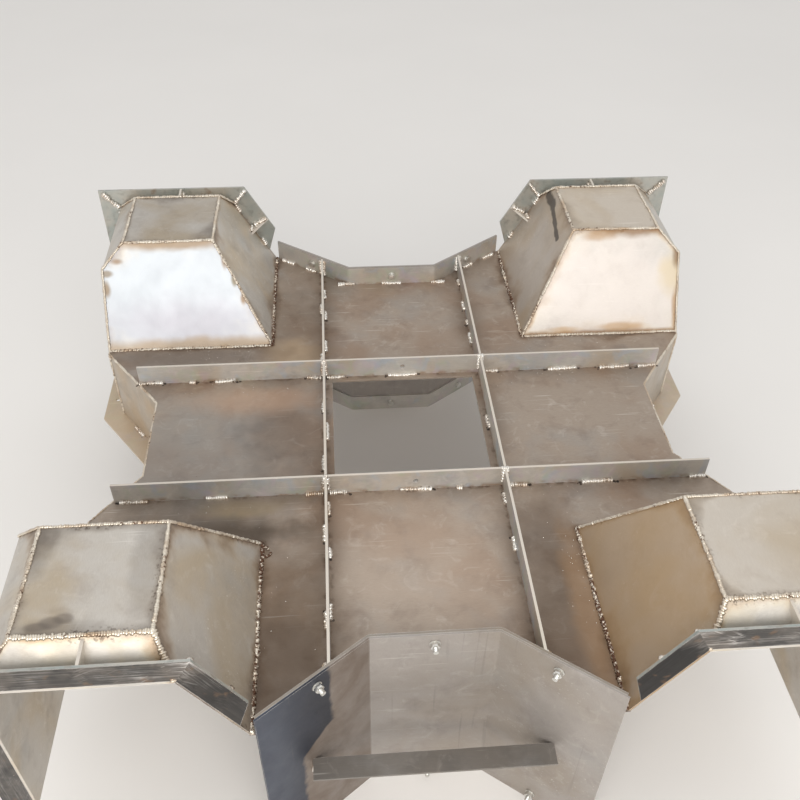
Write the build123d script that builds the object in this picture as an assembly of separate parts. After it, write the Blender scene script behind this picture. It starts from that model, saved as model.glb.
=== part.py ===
from build123d import *
import math
import os

# Upper half of a welded steel mould for casting a four-legged hollow square block.
# It stands with the legs up, on the lower edges of the two bolted notch panels.
# Lengths in mm. +Z is up, the origin is the middle of the plan at floor level.

# Flat bar and sheet
BAR_WIDTH = 60.0
BAR_THICK = 6.0
SHEET = 5.0

# Body
HALF_SIDE = 850.0
BODY_HEIGHT = 490.0
HOLE_SIDE = 400.0

# Legs
LEG_BASE = 375.0
LEG_TOP = 529.0
LEG_HEIGHT = 272.0
CHAMFER = 65.0

# Notch in the middle of every side, a half octagon in plan, a narrow land away from the legs
NOTCH_LAND = 12.0
NOTCH_INNER_HALF = 138.0
NOTCH_OUTER_HALF = LEG_BASE - NOTCH_LAND
NOTCH_DEPTH = 166.0
FOLD_RADIUS = 6.0
PANEL_OVERHANG = 6.0

# Foot of every end flange: how high above the face plate its inner and its outer corner are
RING_FOOT_INNER = 35.0
RING_FOOT_OUTER = 115.0

# Ribs on the face plate
RIB_SPACING = 444.0
RIB_END_INSET = 6.0
RIB_HOLE = 14.0

# Gussets, braces and holes
GUSSET_REACH = 54.0
SLANT_GUSSET_DEPTH = 40.0
SLANT_GUSSET_AT = {"right": 0.51, "left": 0.44}
BRACE_LEG = 50.0
BRACE_THICK = 5.0
BRACE_SET_OUT = 95.0
PANEL_HOLE = 14.0
PARTING_HOLE = 14.0
PARTING_HOLE_PAST_NOTCH = 67.0
PARTING_HOLE_BEFORE_END = 60.0

# Levels
HALF_DEPTH = BODY_HEIGHT / 2
FACE_TOP = BODY_HEIGHT + BAR_WIDTH
FACE_UNDER = FACE_TOP - SHEET
PARTING = FACE_TOP - HALF_DEPTH
CHAMFER_FOOT = FACE_TOP + LEG_HEIGHT - CHAMFER
LEG_END = FACE_TOP + LEG_HEIGHT
RIB_TOP = FACE_TOP + BAR_WIDTH
RIB_AT = RIB_SPACING / 2
RING_BACK = HALF_SIDE - BAR_THICK
FOLD_OUTSIDE = FOLD_RADIUS + SHEET

# Slope of the two inner walls of a leg
SLOPE_RUN = LEG_TOP - LEG_BASE
SLOPE_LENGTH = math.hypot(SLOPE_RUN, LEG_HEIGHT)
SLOPE_SIN = LEG_HEIGHT / SLOPE_LENGTH
SLOPE_COS = SLOPE_RUN / SLOPE_LENGTH
POCKET_EDGE = LEG_BASE + SHEET / SLOPE_SIN

NOTCH_LINE = [
    (-HALF_SIDE, NOTCH_OUTER_HALF),
    (-HALF_SIDE + NOTCH_DEPTH, NOTCH_INNER_HALF),
    (-HALF_SIDE + NOTCH_DEPTH, -NOTCH_INNER_HALF),
    (-HALF_SIDE, -NOTCH_OUTER_HALF),
]


def keep_below(solid, point, normal):
    """The part of a solid on the side the normal points away from."""
    return solid.split(Plane(origin=point, z_dir=normal), keep=Keep.BOTTOM)


def prism(points, low, high):
    """A plan outline carried from one level to another."""
    face = make_face(Polyline(*points, close=True))
    return Pos(0, 0, low) * extrude(face, high - low)


def offset_line(points, distance):
    """The line moved to its left by a distance, with mitred corners."""
    sides = []
    for start, end in zip(points, points[1:]):
        length = math.dist(start, end)
        sides.append(((end[0] - start[0]) / length, (end[1] - start[1]) / length))
    moved = []
    for index, point in enumerate(points):
        before = sides[max(index - 1, 0)]
        after = sides[min(index, len(sides) - 1)]
        normal = (-before[1] - after[1], before[0] + after[0])
        scale = distance / (normal[0] * -after[1] + normal[1] * after[0])
        moved.append((point[0] + normal[0] * scale, point[1] + normal[1] * scale))
    return moved


def strip(points, thickness, low, high):
    """One upright or flat run of plate for every stretch of a line, mitred where they meet."""
    moved = offset_line(points, thickness)
    runs = []
    for index in range(len(points) - 1):
        outline = [points[index], points[index + 1], moved[index + 1], moved[index]]
        runs.append(prism(outline, low, high))
    return runs


def joined(runs):
    """Runs that meet face to face, made into one folded piece."""
    whole = runs[0]
    for run in runs[1:]:
        whole = whole + run
    return whole


def round_folds(solid, axis, places, radius):
    """The solid with the edges along an axis that pass through these places rounded."""
    folds = []
    for edge in solid.edges().filter_by(axis):
        middle = edge.center()
        seen = (middle.X, middle.Y) if axis == Axis.Z else (middle.X, middle.Z)
        if min(math.dist(seen, place) for place in places) < SHEET / 10:
            folds.append(edge)
    return fillet(folds, radius)


def four_ways(solid):
    """The same piece at the four legs, by name."""
    across = mirror(solid, about=Plane.YZ)
    return {
        "back_right": solid,
        "back_left": across,
        "front_right": mirror(solid, about=Plane.XZ),
        "front_left": mirror(across, about=Plane.XZ),
    }


# Faces of the back right leg: a point on the face and the way the face looks
LEG_FACES = {
    "inner_x": ((LEG_BASE, 0, FACE_TOP), (-SLOPE_SIN, 0, SLOPE_COS)),
    "inner_y": ((0, LEG_BASE, FACE_TOP), (0, -SLOPE_SIN, SLOPE_COS)),
    "top": ((0, 0, LEG_END), (0, 0, 1)),
    "side": ((HALF_SIDE, 0, 0), (1, 0, 0)),
    "side_chamfer": ((HALF_SIDE, 0, CHAMFER_FOOT), (math.sqrt(0.5), 0, math.sqrt(0.5))),
    "end_chamfer": ((0, HALF_SIDE, CHAMFER_FOOT), (0, math.sqrt(0.5), math.sqrt(0.5))),
}
LEG_BLOCK = Pos((LEG_BASE + HALF_SIDE) / 2, HALF_SIDE / 2, FACE_TOP) * Box(
    HALF_SIDE, HALF_SIDE, 2 * LEG_HEIGHT + 2 * SHEET
)


def leg_plate(name, bottom):
    """One plate of the leg, mitred against every plate beside it."""
    point, normal = LEG_FACES[name]
    here = Vector(*normal)
    level = here.dot(Vector(*point))
    plate = keep_below(LEG_BLOCK, point, normal)
    plate = keep_below(plate, Vector(*point) - here * SHEET, -here)
    plate = keep_below(plate, (0, HALF_SIDE, 0), (0, 1, 0))
    plate = keep_below(plate, (0, 0, bottom), (0, 0, -1))
    for other, (other_point, other_normal) in LEG_FACES.items():
        if other == name:
            continue
        there = Vector(*other_normal)
        across = there - here
        share = (there.dot(Vector(*other_point)) - level) / across.dot(across)
        plate = keep_below(plate, across * share, across)
    return plate


pieces = {}

# Face plate: the square with four leg pockets, four notches and the middle hole cut out
plate = prism(
    [(-HALF_SIDE, -HALF_SIDE), (HALF_SIDE, -HALF_SIDE), (HALF_SIDE, HALF_SIDE), (-HALF_SIDE, HALF_SIDE)],
    FACE_UNDER,
    FACE_TOP,
)
plate = plate - Pos(0, 0, FACE_TOP) * Box(HOLE_SIDE, HOLE_SIDE, 4 * SHEET)
pocket_side = 2 * HALF_SIDE
pocket_middle = POCKET_EDGE + pocket_side / 2
notch_block = prism(
    [(-HALF_SIDE - SHEET, NOTCH_OUTER_HALF), *NOTCH_LINE, (-HALF_SIDE - SHEET, -NOTCH_OUTER_HALF)],
    FACE_UNDER - SHEET,
    FACE_TOP + SHEET,
)
for quarter in range(4):
    turn = Rot(0, 0, 90 * quarter)
    plate = plate - turn * Pos(pocket_middle, pocket_middle, FACE_TOP) * Box(
        pocket_side, pocket_side, 4 * SHEET
    )
    plate = plate - turn * notch_block
pieces["face_plate"] = plate

# Side walls: outer walls and the three notch walls of each long side
SIDE_LINE = [(-HALF_SIDE, HALF_SIDE), *NOTCH_LINE, (-HALF_SIDE, -HALF_SIDE)]
wall_runs = strip(SIDE_LINE, SHEET, PARTING, FACE_UNDER)
for place, run in zip(("back", "middle", "front"), wall_runs[1:4]):
    pieces["notch_wall_left_" + place] = run
    pieces["notch_wall_right_" + place] = mirror(run, about=Plane.YZ)

# Legs
lower_wall = mirror(wall_runs[0], about=Plane.YZ)
step = prism(
    [
        (HALF_SIDE - SHEET, POCKET_EDGE),
        (HALF_SIDE, POCKET_EDGE),
        (HALF_SIDE, HALF_SIDE),
        (HALF_SIDE - SHEET, HALF_SIDE),
    ],
    FACE_UNDER,
    FACE_TOP,
)
side_plate = leg_plate("side", FACE_TOP) + leg_plate("side_chamfer", FACE_TOP)
side_plate = side_plate + step + lower_wall
fold_inside = (HALF_SIDE - SHEET, CHAMFER_FOOT + SHEET - SHEET * math.sqrt(2))
side_plate = round_folds(side_plate, Axis.Y, [(HALF_SIDE, CHAMFER_FOOT)], FOLD_OUTSIDE)
side_plate = round_folds(side_plate, Axis.Y, [fold_inside], FOLD_RADIUS)
leg_pieces = {
    "inner_wall_x": leg_plate("inner_x", FACE_TOP),
    "inner_wall_y": leg_plate("inner_y", FACE_TOP),
    "top_plate": leg_plate("top", FACE_TOP),
    "end_chamfer": leg_plate("end_chamfer", FACE_TOP),
    "side_plate": side_plate,
}
for name, solid in leg_pieces.items():
    for place, copy in four_ways(solid).items():
        pieces["leg_" + name + "_" + place] = copy

# End flanges: a ring of flat bar round the open end of every leg
foot_run = CHAMFER_FOOT - FACE_TOP
slant_foot = LEG_BASE + SLOPE_RUN * foot_run / LEG_HEIGHT
slant_corner = slant_foot - BAR_WIDTH * (1 - SLOPE_COS) / SLOPE_SIN
ring_outer_line = LEG_BASE - BAR_WIDTH / SLOPE_SIN
run_per_rise = SLOPE_RUN / LEG_HEIGHT
ring_outline = [
    (LEG_BASE + RING_FOOT_INNER * run_per_rise, FACE_TOP + RING_FOOT_INNER),
    (slant_foot, CHAMFER_FOOT),
    (HALF_SIDE, CHAMFER_FOOT),
    (HALF_SIDE, PARTING),
    (HALF_SIDE + BAR_WIDTH, PARTING),
    (HALF_SIDE + BAR_WIDTH, CHAMFER_FOOT + BAR_WIDTH),
    (slant_corner, CHAMFER_FOOT + BAR_WIDTH),
    (ring_outer_line + RING_FOOT_OUTER * run_per_rise, FACE_TOP + RING_FOOT_OUTER),
]
ring_face = make_face(Polyline(*[(x, HALF_SIDE, z) for x, z in ring_outline], close=True))
ring = extrude(ring_face, BAR_THICK, dir=(0, -1, 0))
leg_outside = LEG_BLOCK
for face_point, face_normal in LEG_FACES.values():
    leg_outside = keep_below(leg_outside, face_point, face_normal)
ring = ring - leg_outside
for place, copy in four_ways(ring).items():
    pieces["end_flange_" + place] = copy

# Gussets behind the end flanges
top_middle = (slant_corner + HALF_SIDE) / 2
top_gusset_points = [
    (top_middle - BAR_THICK / 2, RING_BACK, CHAMFER_FOOT + BAR_THICK),
    (top_middle - BAR_THICK / 2, RING_BACK, CHAMFER_FOOT + BAR_THICK + GUSSET_REACH),
    (top_middle - BAR_THICK / 2, RING_BACK - GUSSET_REACH, CHAMFER_FOOT + BAR_THICK + GUSSET_REACH),
]
top_gusset = extrude(make_face(Polyline(*top_gusset_points, close=True)), BAR_THICK, dir=(1, 0, 0))
for place, copy in four_ways(top_gusset).items():
    pieces["top_gusset_" + place] = copy
# The slanted one is as wide as the bar it stiffens and sits a little higher on the right legs
for side, share in SLANT_GUSSET_AT.items():
    slant_x = LEG_BASE + SLOPE_RUN * share
    slant_z = FACE_TOP + LEG_HEIGHT * share
    slant_gusset_points = [
        (slant_x, RING_BACK, slant_z),
        (slant_x - BAR_WIDTH * SLOPE_SIN, RING_BACK, slant_z + BAR_WIDTH * SLOPE_COS),
        (slant_x, RING_BACK - SLANT_GUSSET_DEPTH, slant_z),
    ]
    slant_face = make_face(Polyline(*slant_gusset_points, close=True))
    slant_gusset = extrude(slant_face, BAR_THICK, dir=(SLOPE_COS, 0, SLOPE_SIN))
    for place, copy in four_ways(slant_gusset).items():
        if place.endswith(side):
            pieces["slant_gusset_" + place] = copy

# Notch flanges, foot bars and notch panels on the two end sides
END_LINE = [(-y, x) for x, y in NOTCH_LINE]
facet = (END_LINE[1][0] - END_LINE[0][0], END_LINE[1][1] - END_LINE[0][1])
facet_length = math.hypot(*facet)
facet_way = (facet[0] / facet_length, facet[1] / facet_length)
facet_middle = ((END_LINE[0][0] + END_LINE[1][0]) / 2, (END_LINE[0][1] + END_LINE[1][1]) / 2)
over_x, over_y = facet_way[0] * PANEL_OVERHANG, facet_way[1] * PANEL_OVERHANG
PANEL_LINE = [
    (END_LINE[0][0] - over_x, END_LINE[0][1] - over_y),
    END_LINE[1],
    END_LINE[2],
    (END_LINE[3][0] + over_x, END_LINE[3][1] - over_y),
]
inner_line = offset_line(END_LINE, BAR_THICK)
outer_line = offset_line(PANEL_LINE, -SHEET)
flange = joined(strip(END_LINE, BAR_THICK, FACE_TOP, RIB_TOP))
flange = round_folds(flange, Axis.Z, END_LINE[1:3], FOLD_OUTSIDE)
flange = round_folds(flange, Axis.Z, inner_line[1:3], FOLD_OUTSIDE + BAR_THICK)
panel = joined(strip(PANEL_LINE, -SHEET, 0, RIB_TOP))
panel = round_folds(panel, Axis.Z, PANEL_LINE[1:3], FOLD_OUTSIDE)
panel = round_folds(panel, Axis.Z, outer_line[1:3], FOLD_RADIUS)

# Bolt holes through flange and panel, one in every facet, and the same row near the lower edge.
# The foot bar is a second flange, bolted inside the lower edge of the panel.
middle_facet = (0, END_LINE[1][1])
facet_angle = math.degrees(math.atan2(facet[1], facet[0]))
hole_places = [
    (facet_middle, facet_angle),
    (middle_facet, 0),
    ((-facet_middle[0], facet_middle[1]), -facet_angle),
]
for (x, y), angle in hole_places:
    drill = Pos(x, y, BAR_WIDTH / 2) * Rot(0, 0, angle) * Rot(90, 0, 0) * Cylinder(PANEL_HOLE / 2, 8 * BAR_THICK)
    flange = flange - Pos(0, 0, FACE_TOP) * drill
    panel = panel - drill - Pos(0, 0, FACE_TOP) * drill
foot_bar = Pos(0, 0, -FACE_TOP) * flange
for name, solid in {"notch_flange": flange, "foot_bar": foot_bar, "notch_panel": panel}.items():
    pieces[name + "_front"] = solid
    pieces[name + "_back"] = mirror(solid, about=Plane.XZ)

# Braces: an angle bar across the outer side of every notch panel, flat leg on top, ends cut square
brace_y = outer_line[1][1] - BRACE_SET_OUT
profile_points = [
    (brace_y, PARTING),
    (brace_y, PARTING - BRACE_LEG),
    (brace_y - BRACE_THICK, PARTING - BRACE_LEG),
    (brace_y - BRACE_THICK, PARTING - BRACE_THICK),
    (brace_y - BRACE_LEG, PARTING - BRACE_THICK),
    (brace_y - BRACE_LEG, PARTING),
]
brace_end = abs(outer_line[1][0]) + (BRACE_SET_OUT + BRACE_THICK / 2) * facet_way[0] / facet_way[1]
profile = make_face(Polyline(*[(-brace_end, y, z) for y, z in profile_points], close=True))
brace = extrude(profile, 2 * brace_end, dir=(1, 0, 0))
for side in (-1, 1):
    foot = (side * abs(outer_line[1][0]), outer_line[1][1], 0)
    brace = keep_below(brace, foot, (side * facet_way[1], facet_way[0], 0))
pieces["brace_front"] = brace
pieces["brace_back"] = mirror(brace, about=Plane.XZ)

# Parting flanges along the foot of the two long sides
FLANGE_LINE = [(-HALF_SIDE, RING_BACK), *NOTCH_LINE, (-HALF_SIDE, -RING_BACK)]
parting = joined(strip(FLANGE_LINE, -BAR_WIDTH, PARTING, PARTING + BAR_THICK))
for y in (NOTCH_OUTER_HALF + PARTING_HOLE_PAST_NOTCH, HALF_SIDE - PARTING_HOLE_BEFORE_END):
    for way in (-1, 1):
        spot = Pos(-HALF_SIDE - BAR_WIDTH / 2, way * y, PARTING)
        parting = parting - spot * Cylinder(PARTING_HOLE / 2, 4 * BAR_THICK)
pieces["parting_flange_left"] = parting
pieces["parting_flange_right"] = mirror(parting, about=Plane.YZ)

# Gusset on each parting flange, in the middle of the notch
notch_wall_x = -HALF_SIDE + NOTCH_DEPTH
flange_top = PARTING + BAR_THICK
parting_gusset_points = [
    (notch_wall_x, -BAR_THICK / 2, flange_top),
    (notch_wall_x, -BAR_THICK / 2, flange_top + GUSSET_REACH),
    (notch_wall_x - GUSSET_REACH, -BAR_THICK / 2, flange_top),
]
parting_gusset = extrude(make_face(Polyline(*parting_gusset_points, close=True)), BAR_THICK, dir=(0, 1, 0))
pieces["parting_gusset_left"] = parting_gusset
pieces["parting_gusset_right"] = mirror(parting_gusset, about=Plane.YZ)


def rib_end(x):
    """How far a long rib reaches at a distance from the middle: the inner face of the notch flange."""
    share = (x - inner_line[2][0]) / (inner_line[3][0] - inner_line[2][0])
    return inner_line[2][1] + share * (inner_line[3][1] - inner_line[2][1])


# Ribs: two long bars run through, the cross bars are cut to fit between and beside them
rib_in = RIB_AT - BAR_THICK / 2
rib_out = RIB_AT + BAR_THICK / 2
long_rib = prism(
    [
        (rib_in, rib_end(rib_in)),
        (rib_out, rib_end(rib_out)),
        (rib_out, -rib_end(rib_out)),
        (rib_in, -rib_end(rib_in)),
    ],
    FACE_TOP,
    RIB_TOP,
)
pieces["long_rib_right"] = long_rib
pieces["long_rib_left"] = mirror(long_rib, about=Plane.YZ)

notch_share = (NOTCH_OUTER_HALF - RIB_AT) / (NOTCH_OUTER_HALF - NOTCH_INNER_HALF)
edge_at_rib = HALF_SIDE - NOTCH_DEPTH * notch_share
rib_length = edge_at_rib - RIB_END_INSET - rib_out
cross_side = Pos(rib_out + rib_length / 2, RIB_AT, FACE_TOP + BAR_WIDTH / 2) * Box(
    rib_length, BAR_THICK, BAR_WIDTH
)
cross_middle = Pos(0, RIB_AT, FACE_TOP + BAR_WIDTH / 2) * Box(2 * rib_in, BAR_THICK, BAR_WIDTH)
rib_drill = Pos(0, RIB_AT, FACE_TOP + BAR_WIDTH / 2) * Rot(90, 0, 0) * Cylinder(
    RIB_HOLE / 2, 4 * BAR_THICK
)
cross_middle = cross_middle - rib_drill
pieces["cross_rib_back_middle"] = cross_middle
pieces["cross_rib_front_middle"] = mirror(cross_middle, about=Plane.XZ)
for place, copy in four_ways(cross_side).items():
    pieces["cross_rib_" + place] = copy

os.makedirs("parts", exist_ok=True)
for name, solid in pieces.items():
    export_step(solid, "parts/" + name + ".step")
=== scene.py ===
import math
import random
from itertools import product

import bpy
from bpy.props import FloatProperty, FloatVectorProperty, IntProperty, PointerProperty
from mathutils import Matrix, Vector


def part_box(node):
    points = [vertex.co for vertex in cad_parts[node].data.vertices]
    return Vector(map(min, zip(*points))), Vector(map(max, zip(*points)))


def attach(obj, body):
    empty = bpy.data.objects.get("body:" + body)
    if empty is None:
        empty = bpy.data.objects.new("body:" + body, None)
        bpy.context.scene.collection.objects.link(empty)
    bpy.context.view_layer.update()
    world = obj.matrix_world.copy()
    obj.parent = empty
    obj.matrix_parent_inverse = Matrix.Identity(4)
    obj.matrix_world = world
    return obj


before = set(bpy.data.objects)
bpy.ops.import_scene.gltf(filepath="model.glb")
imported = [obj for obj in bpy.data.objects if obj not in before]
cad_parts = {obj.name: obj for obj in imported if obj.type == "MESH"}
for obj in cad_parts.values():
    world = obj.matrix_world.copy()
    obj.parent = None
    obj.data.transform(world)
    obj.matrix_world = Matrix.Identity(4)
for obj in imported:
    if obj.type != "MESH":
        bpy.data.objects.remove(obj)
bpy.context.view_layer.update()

bl_info = {
    "name": "Steel Block Mould",
    "version": (1, 0, 0),
    "blender": (4, 5, 0),
    "location": "3D View > Sidebar > Mould",
    "description": "Weld beads, bolts and steel finishes for the mould half",
    "category": "Add Mesh",
}

# Sizes of the mould half in metres, read from its solids
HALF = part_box("face_plate")[1][0]
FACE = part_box("face_plate")[1][2]
LEG_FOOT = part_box("leg_inner_wall_x_back_right")[0][0]
LEG_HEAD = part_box("leg_top_plate_back_right")[0][0]
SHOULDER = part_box("leg_top_plate_back_right")[1][0]
LEG_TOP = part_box("leg_top_plate_back_right")[1][2]
KNEE = LEG_TOP - (HALF - SHOULDER)
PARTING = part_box("parting_flange_left")[0][2]
# Strip of plate left between a leg and a notch
LAND = 0.012
NOTCH_MOUTH = LEG_FOOT - LAND
NOTCH_FLOOR = -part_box("notch_panel_front")[1][1]
# Half the width of the middle facet of a notch
NOTCH_FOLD = 0.138
# The way a slanted facet of the back notch runs, outwards to the right
NOTCH_SLANT = Vector((NOTCH_MOUTH - NOTCH_FOLD, HALF - NOTCH_FLOOR, 0)).normalized()
# Thickness of the panels
SHEET = 0.005
RIB_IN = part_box("long_rib_right")[0][0]
RIB_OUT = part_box("long_rib_right")[1][0]
RIB_AT = (RIB_IN + RIB_OUT) / 2
BAR_THICK = RIB_OUT - RIB_IN
BAR_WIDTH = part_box("long_rib_right")[1][2] - FACE
RING_BACK = HALF - BAR_THICK

# Slope of the two inner walls of a leg
LEG_RISE = LEG_TOP - FACE
LEG_RUN = LEG_HEAD - LEG_FOOT
SLOPE_SIN = LEG_RISE / math.hypot(LEG_RISE, LEG_RUN)
SLOPE_COS = LEG_RUN / math.hypot(LEG_RISE, LEG_RUN)
KNEE_IN = LEG_FOOT + LEG_RUN * (KNEE - FACE) / LEG_RISE
SLOPE = Vector((LEG_RUN, 0, LEG_RISE)).normalized()
# How far the inner mitre of an end flange runs sideways over the width of its bars
MITRE_RUN = BAR_WIDTH * (1 - SLOPE_COS) / SLOPE_SIN
DIAGONAL = math.sqrt(0.5)

# Faces of a leg: the way each looks and its distance from the origin, for the back right leg
LEG_FACES = {
    "inner_x": ((-SLOPE_SIN, 0, SLOPE_COS), SLOPE_COS * FACE - SLOPE_SIN * LEG_FOOT),
    "inner_y": ((0, -SLOPE_SIN, SLOPE_COS), SLOPE_COS * FACE - SLOPE_SIN * LEG_FOOT),
    "top": ((0, 0, 1), LEG_TOP),
    "side": ((1, 0, 0), HALF),
    "end": ((0, 1, 0), HALF),
    "side_chamfer": ((DIAGONAL, 0, DIAGONAL), DIAGONAL * (HALF + KNEE)),
    "end_chamfer": ((0, DIAGONAL, DIAGONAL), DIAGONAL * (HALF + KNEE)),
    "foot": ((0, 0, -1), -FACE),
}


def linear(code):
    """The linear colour of an sRGB hex value."""
    values = [int(code[place : place + 2], 16) / 255 for place in (1, 3, 5)]
    return [value / 12.92 if value <= 0.04045 else ((value + 0.055) / 1.055) ** 2.4 for value in values]


class SteelColours(bpy.types.PropertyGroup):
    sheet: FloatVectorProperty(
        name="Sheet", description="Bare sheet of the plate and panels", subtype="COLOR", size=3,
        default=linear("#B0A294"), min=0, max=1,
    )
    leg: FloatVectorProperty(
        name="Leg sheet", description="Bare sheet of the legs", subtype="COLOR", size=3,
        default=linear("#D6D1C9"), min=0, max=1,
    )
    bar: FloatVectorProperty(
        name="Flat bar", description="Hot-rolled flat bar and angle", subtype="COLOR", size=3,
        default=linear("#C6C1B9"), min=0, max=1,
    )


class WeldSizes(bpy.types.PropertyGroup):
    seam_width: FloatProperty(
        name="Seam width", description="Width of the bead along a seam", default=0.0095, unit="LENGTH"
    )
    stitch_width: FloatProperty(
        name="Stitch width", description="Width of the short beads on the bars", default=0.0155, unit="LENGTH"
    )
    pitch: FloatProperty(
        name="Ripple pitch", description="Distance from ripple to ripple", default=0.0048, unit="LENGTH"
    )
    spatter: IntProperty(
        name="Spatter", description="Drops of spatter beside the seams", default=300, min=0
    )


class StageSettings(bpy.types.PropertyGroup):
    floor: FloatVectorProperty(
        name="Floor", description="Colour of the floor", subtype="COLOR", size=3,
        default=linear("#F1EFEC"), min=0, max=1,
    )
    sky: FloatProperty(
        name="Surroundings", description="Level of the even light all round", default=0.78, min=0
    )
    front: FloatProperty(
        name="Front light", description="Power of the low front light", default=150, unit="POWER"
    )
    overhead: FloatProperty(
        name="Overhead light", description="Power of the overhead light", default=18, unit="POWER"
    )


def add_node(tree, kind, inputs=None, **settings):
    """Adds a shader node. Inputs, by name or number, are values or the outputs of other nodes."""
    made = tree.nodes.new("ShaderNode" + kind)
    for name, value in settings.items():
        setattr(made, name, value)
    for name, value in (inputs or {}).items():
        if isinstance(value, bpy.types.NodeSocket):
            tree.links.new(value, made.inputs[name])
        else:
            made.inputs[name].default_value = value
    return made


def calculated(tree, operation, first, second=None):
    """The result of a Math node."""
    inputs = {0: first} if second is None else {0: first, 1: second}
    return add_node(tree, "Math", inputs, operation=operation).outputs[0]


def measured(tree, operation, first, second=None):
    """The result of a VectorMath node: a number for a length, a distance or a dot product, else a vector."""
    inputs = {0: first} if second is None else {0: first, 1: second}
    output = "Value" if operation in ("LENGTH", "DISTANCE", "DOT_PRODUCT") else 0
    return add_node(tree, "VectorMath", inputs, operation=operation).outputs[output]


def rgba(colour):
    return (*colour, 1.0)


def set_ramp(node, stops):
    """Colour stops of a ramp: place and hex colour."""
    elements = node.color_ramp.elements
    while len(elements) < len(stops):
        elements.new(0.5)
    for element, (place, code) in zip(elements, stops):
        element.position = place
        element.color = rgba(linear(code))


def blank_material(name):
    """A new material with its tree, shader and object coordinates."""
    material = bpy.data.materials.new(name)
    material.use_nodes = True
    tree = material.node_tree
    shader = tree.nodes["Principled BSDF"]
    place = add_node(tree, "TexCoord").outputs["Object"]
    return material, tree, shader, place


def seam_distance(tree, place, faces):
    """How far a point of a leg is from the nearest of these neighbouring faces, in metres."""
    one_leg = measured(tree, "ABSOLUTE", place)
    nearest = None
    for name in faces:
        way, level = LEG_FACES[name]
        reach = measured(tree, "DOT_PRODUCT", one_leg, way)
        gap = calculated(tree, "SUBTRACT", level, reach)
        if nearest is None:
            nearest = gap
        else:
            nearest = calculated(tree, "MINIMUM", nearest, gap)
    return nearest


def pocket_distance(tree, place):
    """How far a point of the face plate is from the foot of the nearest leg, in metres."""
    one_leg = measured(tree, "ABSOLUTE", place)
    away = measured(tree, "SUBTRACT", (LEG_FOOT, LEG_FOOT, 0), one_leg)
    away = measured(tree, "MAXIMUM", away, (0, 0, 0))
    return measured(tree, "LENGTH", away)


def rib_distance(tree, place):
    """How far a point is from the middle of the nearest rib, in metres."""
    one_leg = measured(tree, "ABSOLUTE", place)
    away = measured(tree, "SUBTRACT", one_leg, (RIB_AT, RIB_AT, 0))
    away = measured(tree, "ABSOLUTE", away)
    parts = add_node(tree, "SeparateXYZ", {0: away})
    return calculated(tree, "MINIMUM", parts.outputs[0], parts.outputs[1])


def mitre_sides(tree, one_leg):
    """How far a point of an end flange is past the outer and the inner ground mitre, in metres."""
    lean = Vector((BAR_WIDTH, 0, MITRE_RUN)).normalized()
    sides = []
    for way, level in (
        ((DIAGONAL, 0, -DIAGONAL), DIAGONAL * (HALF - KNEE)),
        (lean, lean.dot(Vector((KNEE_IN, 0, KNEE)))),
    ):
        reach = measured(tree, "DOT_PRODUCT", one_leg, way)
        sides.append(calculated(tree, "SUBTRACT", reach, level))
    return sides


def mixed(tree, share, first, second):
    """Two colours mixed. Each is a hex code, a linear colour or the output of another node."""
    pair = {6: first, 7: second}
    for number, colour in pair.items():
        if isinstance(colour, str):
            colour = linear(colour)
        if not isinstance(colour, bpy.types.NodeSocket):
            pair[number] = rgba(colour)
    return add_node(tree, "Mix", {0: share, **pair}, data_type="RGBA").outputs[2]


def ranged(tree, value, low, high, bottom=0.0, top=1.0, smooth=False):
    """A value taken from the range low to high into the range bottom to top."""
    return add_node(
        tree, "MapRange",
        {"Value": value, "From Min": low, "From Max": high, "To Min": bottom, "To Max": top},
        interpolation_type="SMOOTHSTEP" if smooth else "LINEAR",
    ).outputs[0]


def noise(tree, place, size, detail=2.0, rough=0.5, bend=0.0, moved=None, stretch=None):
    """Noise with marks about this size in metres."""
    if moved is not None or stretch is not None:
        place = add_node(
            tree, "Mapping", {"Vector": place, "Location": moved or (0, 0, 0), "Scale": stretch or (1, 1, 1)}
        ).outputs[0]
    return add_node(
        tree, "TexNoise",
        {"Vector": place, "Scale": 1 / size, "Detail": detail, "Roughness": rough, "Distortion": bend},
    ).outputs["Fac"]


def times(tree, first, second):
    return calculated(tree, "MULTIPLY", first, second)


def bump(tree, strength, depth, height, under=None):
    """Relief of this depth in metres, laid over another relief where one is given."""
    inputs = {"Strength": strength, "Distance": depth, "Height": height}
    if under is not None:
        inputs["Normal"] = under
    return add_node(tree, "Bump", inputs).outputs[0]


def surface(tree, shader, colour, rough, metallic, relief=None):
    """Sets what a shader shows. metallic is a number, the rest are outputs of nodes."""
    tree.links.new(colour, shader.inputs["Base Color"])
    tree.links.new(rough, shader.inputs["Roughness"])
    shader.inputs["Metallic"].default_value = metallic
    if relief is not None:
        tree.links.new(relief, shader.inputs["Normal"])


def patch(tree, place, centre, radii, edge=0.25):
    """1 inside a ragged patch round a place of the frame, 0 outside it.

    edge is the share of the radius over which it fades.
    """
    away = measured(tree, "SUBTRACT", place, centre)
    away = measured(tree, "DIVIDE", away, radii)
    away = measured(tree, "LENGTH", away)
    wobble = min(edge, 0.3) * 0.7
    ragged = ranged(tree, noise(tree, place, 0.06, 2), 0.3, 0.7, -wobble, wobble)
    away = calculated(tree, "ADD", away, ragged)
    return ranged(tree, away, 1 + edge, 1 - edge, smooth=True)


def patched(tree, place, shown, patches, edge, height=None):
    """Ragged patches laid over a colour: centre, radii, strength and hex code of each.

    Where height is given, the patches lie at that height, and centres and radii are those from above.
    """
    for centre, radii, share, code in patches:
        if height is not None:
            centre, radii = (*centre, height), (*radii, 1)
        shape = patch(tree, place, centre, radii, edge)
        shown = mixed(tree, times(tree, shape, share), shown, code)
    return shown


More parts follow.
